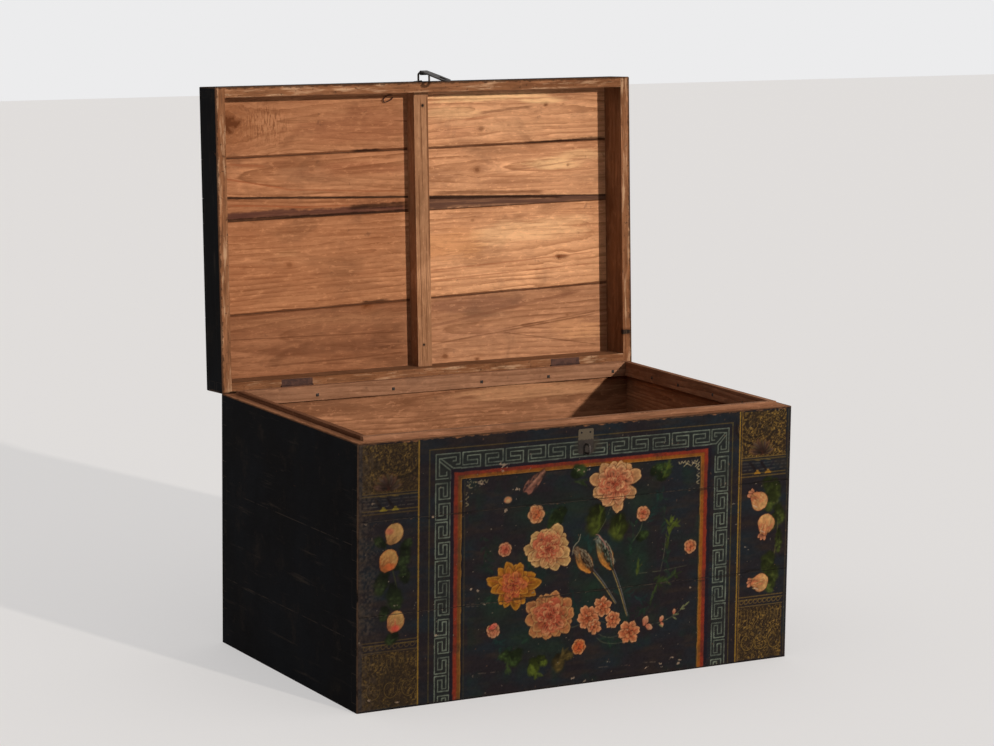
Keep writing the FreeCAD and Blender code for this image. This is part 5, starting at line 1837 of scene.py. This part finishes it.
yaw, pitch, roll = [math.radians(shot[k]) for k in ("yaw", "pitch", "roll")]
ahead = np.array([math.sin(yaw) * math.cos(pitch), math.cos(yaw) * math.cos(pitch), math.sin(pitch)])
right = np.array([math.cos(yaw), -math.sin(yaw), 0.0])
up = np.cross(right, ahead)
rightRolled = right * math.cos(roll) + up * math.sin(roll)
upRolled = up * math.cos(roll) - right * math.sin(roll)
camera = bpy.data.objects.new("camera", bpy.data.cameras.new("camera"))
placed(camera, rightRolled, upRolled, -ahead, np.array(shot["at"]) / 1000)
camera.data.sensor_width = shot["sensor"]
camera.data.lens = shot["focal"] * shot["sensor"] / shot["pixels"]
camera.data.clip_end = shot["clipEnd"]
bpy.context.scene.camera = camera

# light: low key from the camera's right, weak sky that is brighter overhead
lamp = {"side": 15.0, "rise": 12.6, "strength": 2.6, "angle": 1.3, "tone": (255, 247, 236)}
side, rise = math.radians(lamp["side"]), math.radians(lamp["rise"])
travel = np.array([-math.sin(side) * math.cos(rise), math.cos(side) * math.cos(rise), -math.sin(rise)])
acrossKey = np.cross(travel, [0, 0, 1.0])
acrossKey /= np.linalg.norm(acrossKey)
key = bpy.data.objects.new("key", bpy.data.lights.new("key", "SUN"))
placed(key, acrossKey, np.cross(-travel, acrossKey), -travel)
key.data.energy = lamp["strength"]
key.data.angle = math.radians(lamp["angle"])
key.data.color = paintTone(lamp["tone"])[:3]
key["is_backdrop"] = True


def looking(graph):
    # 1 for rays that look (camera, glossy, transmission), 0 for those that only light
    kinds = [
        graph.add("ShaderNodeLightPath", {}, {}, "Is %s Ray" % kind)
        for kind in ("Camera", "Glossy", "Transmission")
    ]
    return kinds[0].most(kinds[1]).most(kinds[2])


sky = {"base": 0.04, "top": 0.62, "right": 0.22, "light": (1.0, 0.98, 0.95, 1.0), "seen": (236, 236, 237)}
world = bpy.data.worlds.new("world")
bpy.context.scene.world = world
air = Graph("world", world)
direction = air.parts(air.add("ShaderNodeTexCoord", {}, {}, "Generated"))
overhead, fromRight = direction[2].rise(0.05, 1.0), direction[0].rise(-0.1, 1.0)
glow = overhead * sky["top"] + fromRight * sky["right"] + sky["base"]
fill = air.add("ShaderNodeBackground", {}, {0: sky["light"], 1: glow})
seen = air.add("ShaderNodeBackground", {}, {0: paintTone(sky["seen"]), 1: 1.0})
air.show(air.add("ShaderNodeMixShader", {}, {0: looking(air), 1: fill, 2: seen}))

# rays that look see half of the floor as plain pale paper, so that it looks near white without more light
paperLook = {"half": 12, "z": -0.0003, "tone": (243, 241, 240), "seen": (238, 236, 236), "share": 0.5}
floorMesh = bpy.data.meshes.new("floor")
corners = [
    (x * paperLook["half"], y * paperLook["half"], paperLook["z"])
    for x, y in ((-1, -1), (1, -1), (1, 1), (-1, 1))
]
floorMesh.from_pydata(corners, [], [(0, 1, 2, 3)])
floor = bpy.data.objects.new("floor", floorMesh)
bpy.context.scene.collection.objects.link(floor)
paper = Graph("floor")
paper.shade(Base_Color=paintTone(paperLook["tone"]), Roughness=0.9)
lit = Link(paper, paper.shader.outputs[0])
plain = paper.add("ShaderNodeEmission", {}, {"Color": paintTone(paperLook["seen"]), "Strength": 1.0})
paper.show(paper.add(
    "ShaderNodeMixShader", {}, {0: looking(paper) * paperLook["share"], 1: lit, 2: plain},
))
floorMesh.materials.append(paper.material)
floor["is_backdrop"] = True
bpy.context.scene.view_settings.view_transform = "Standard"
print("camera, light and floor")

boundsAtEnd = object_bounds()
size = {
    "load": [list(map(float, v)) for v in boundsAtLoad],
    "end": [list(map(float, v)) for v in boundsAtEnd],
}
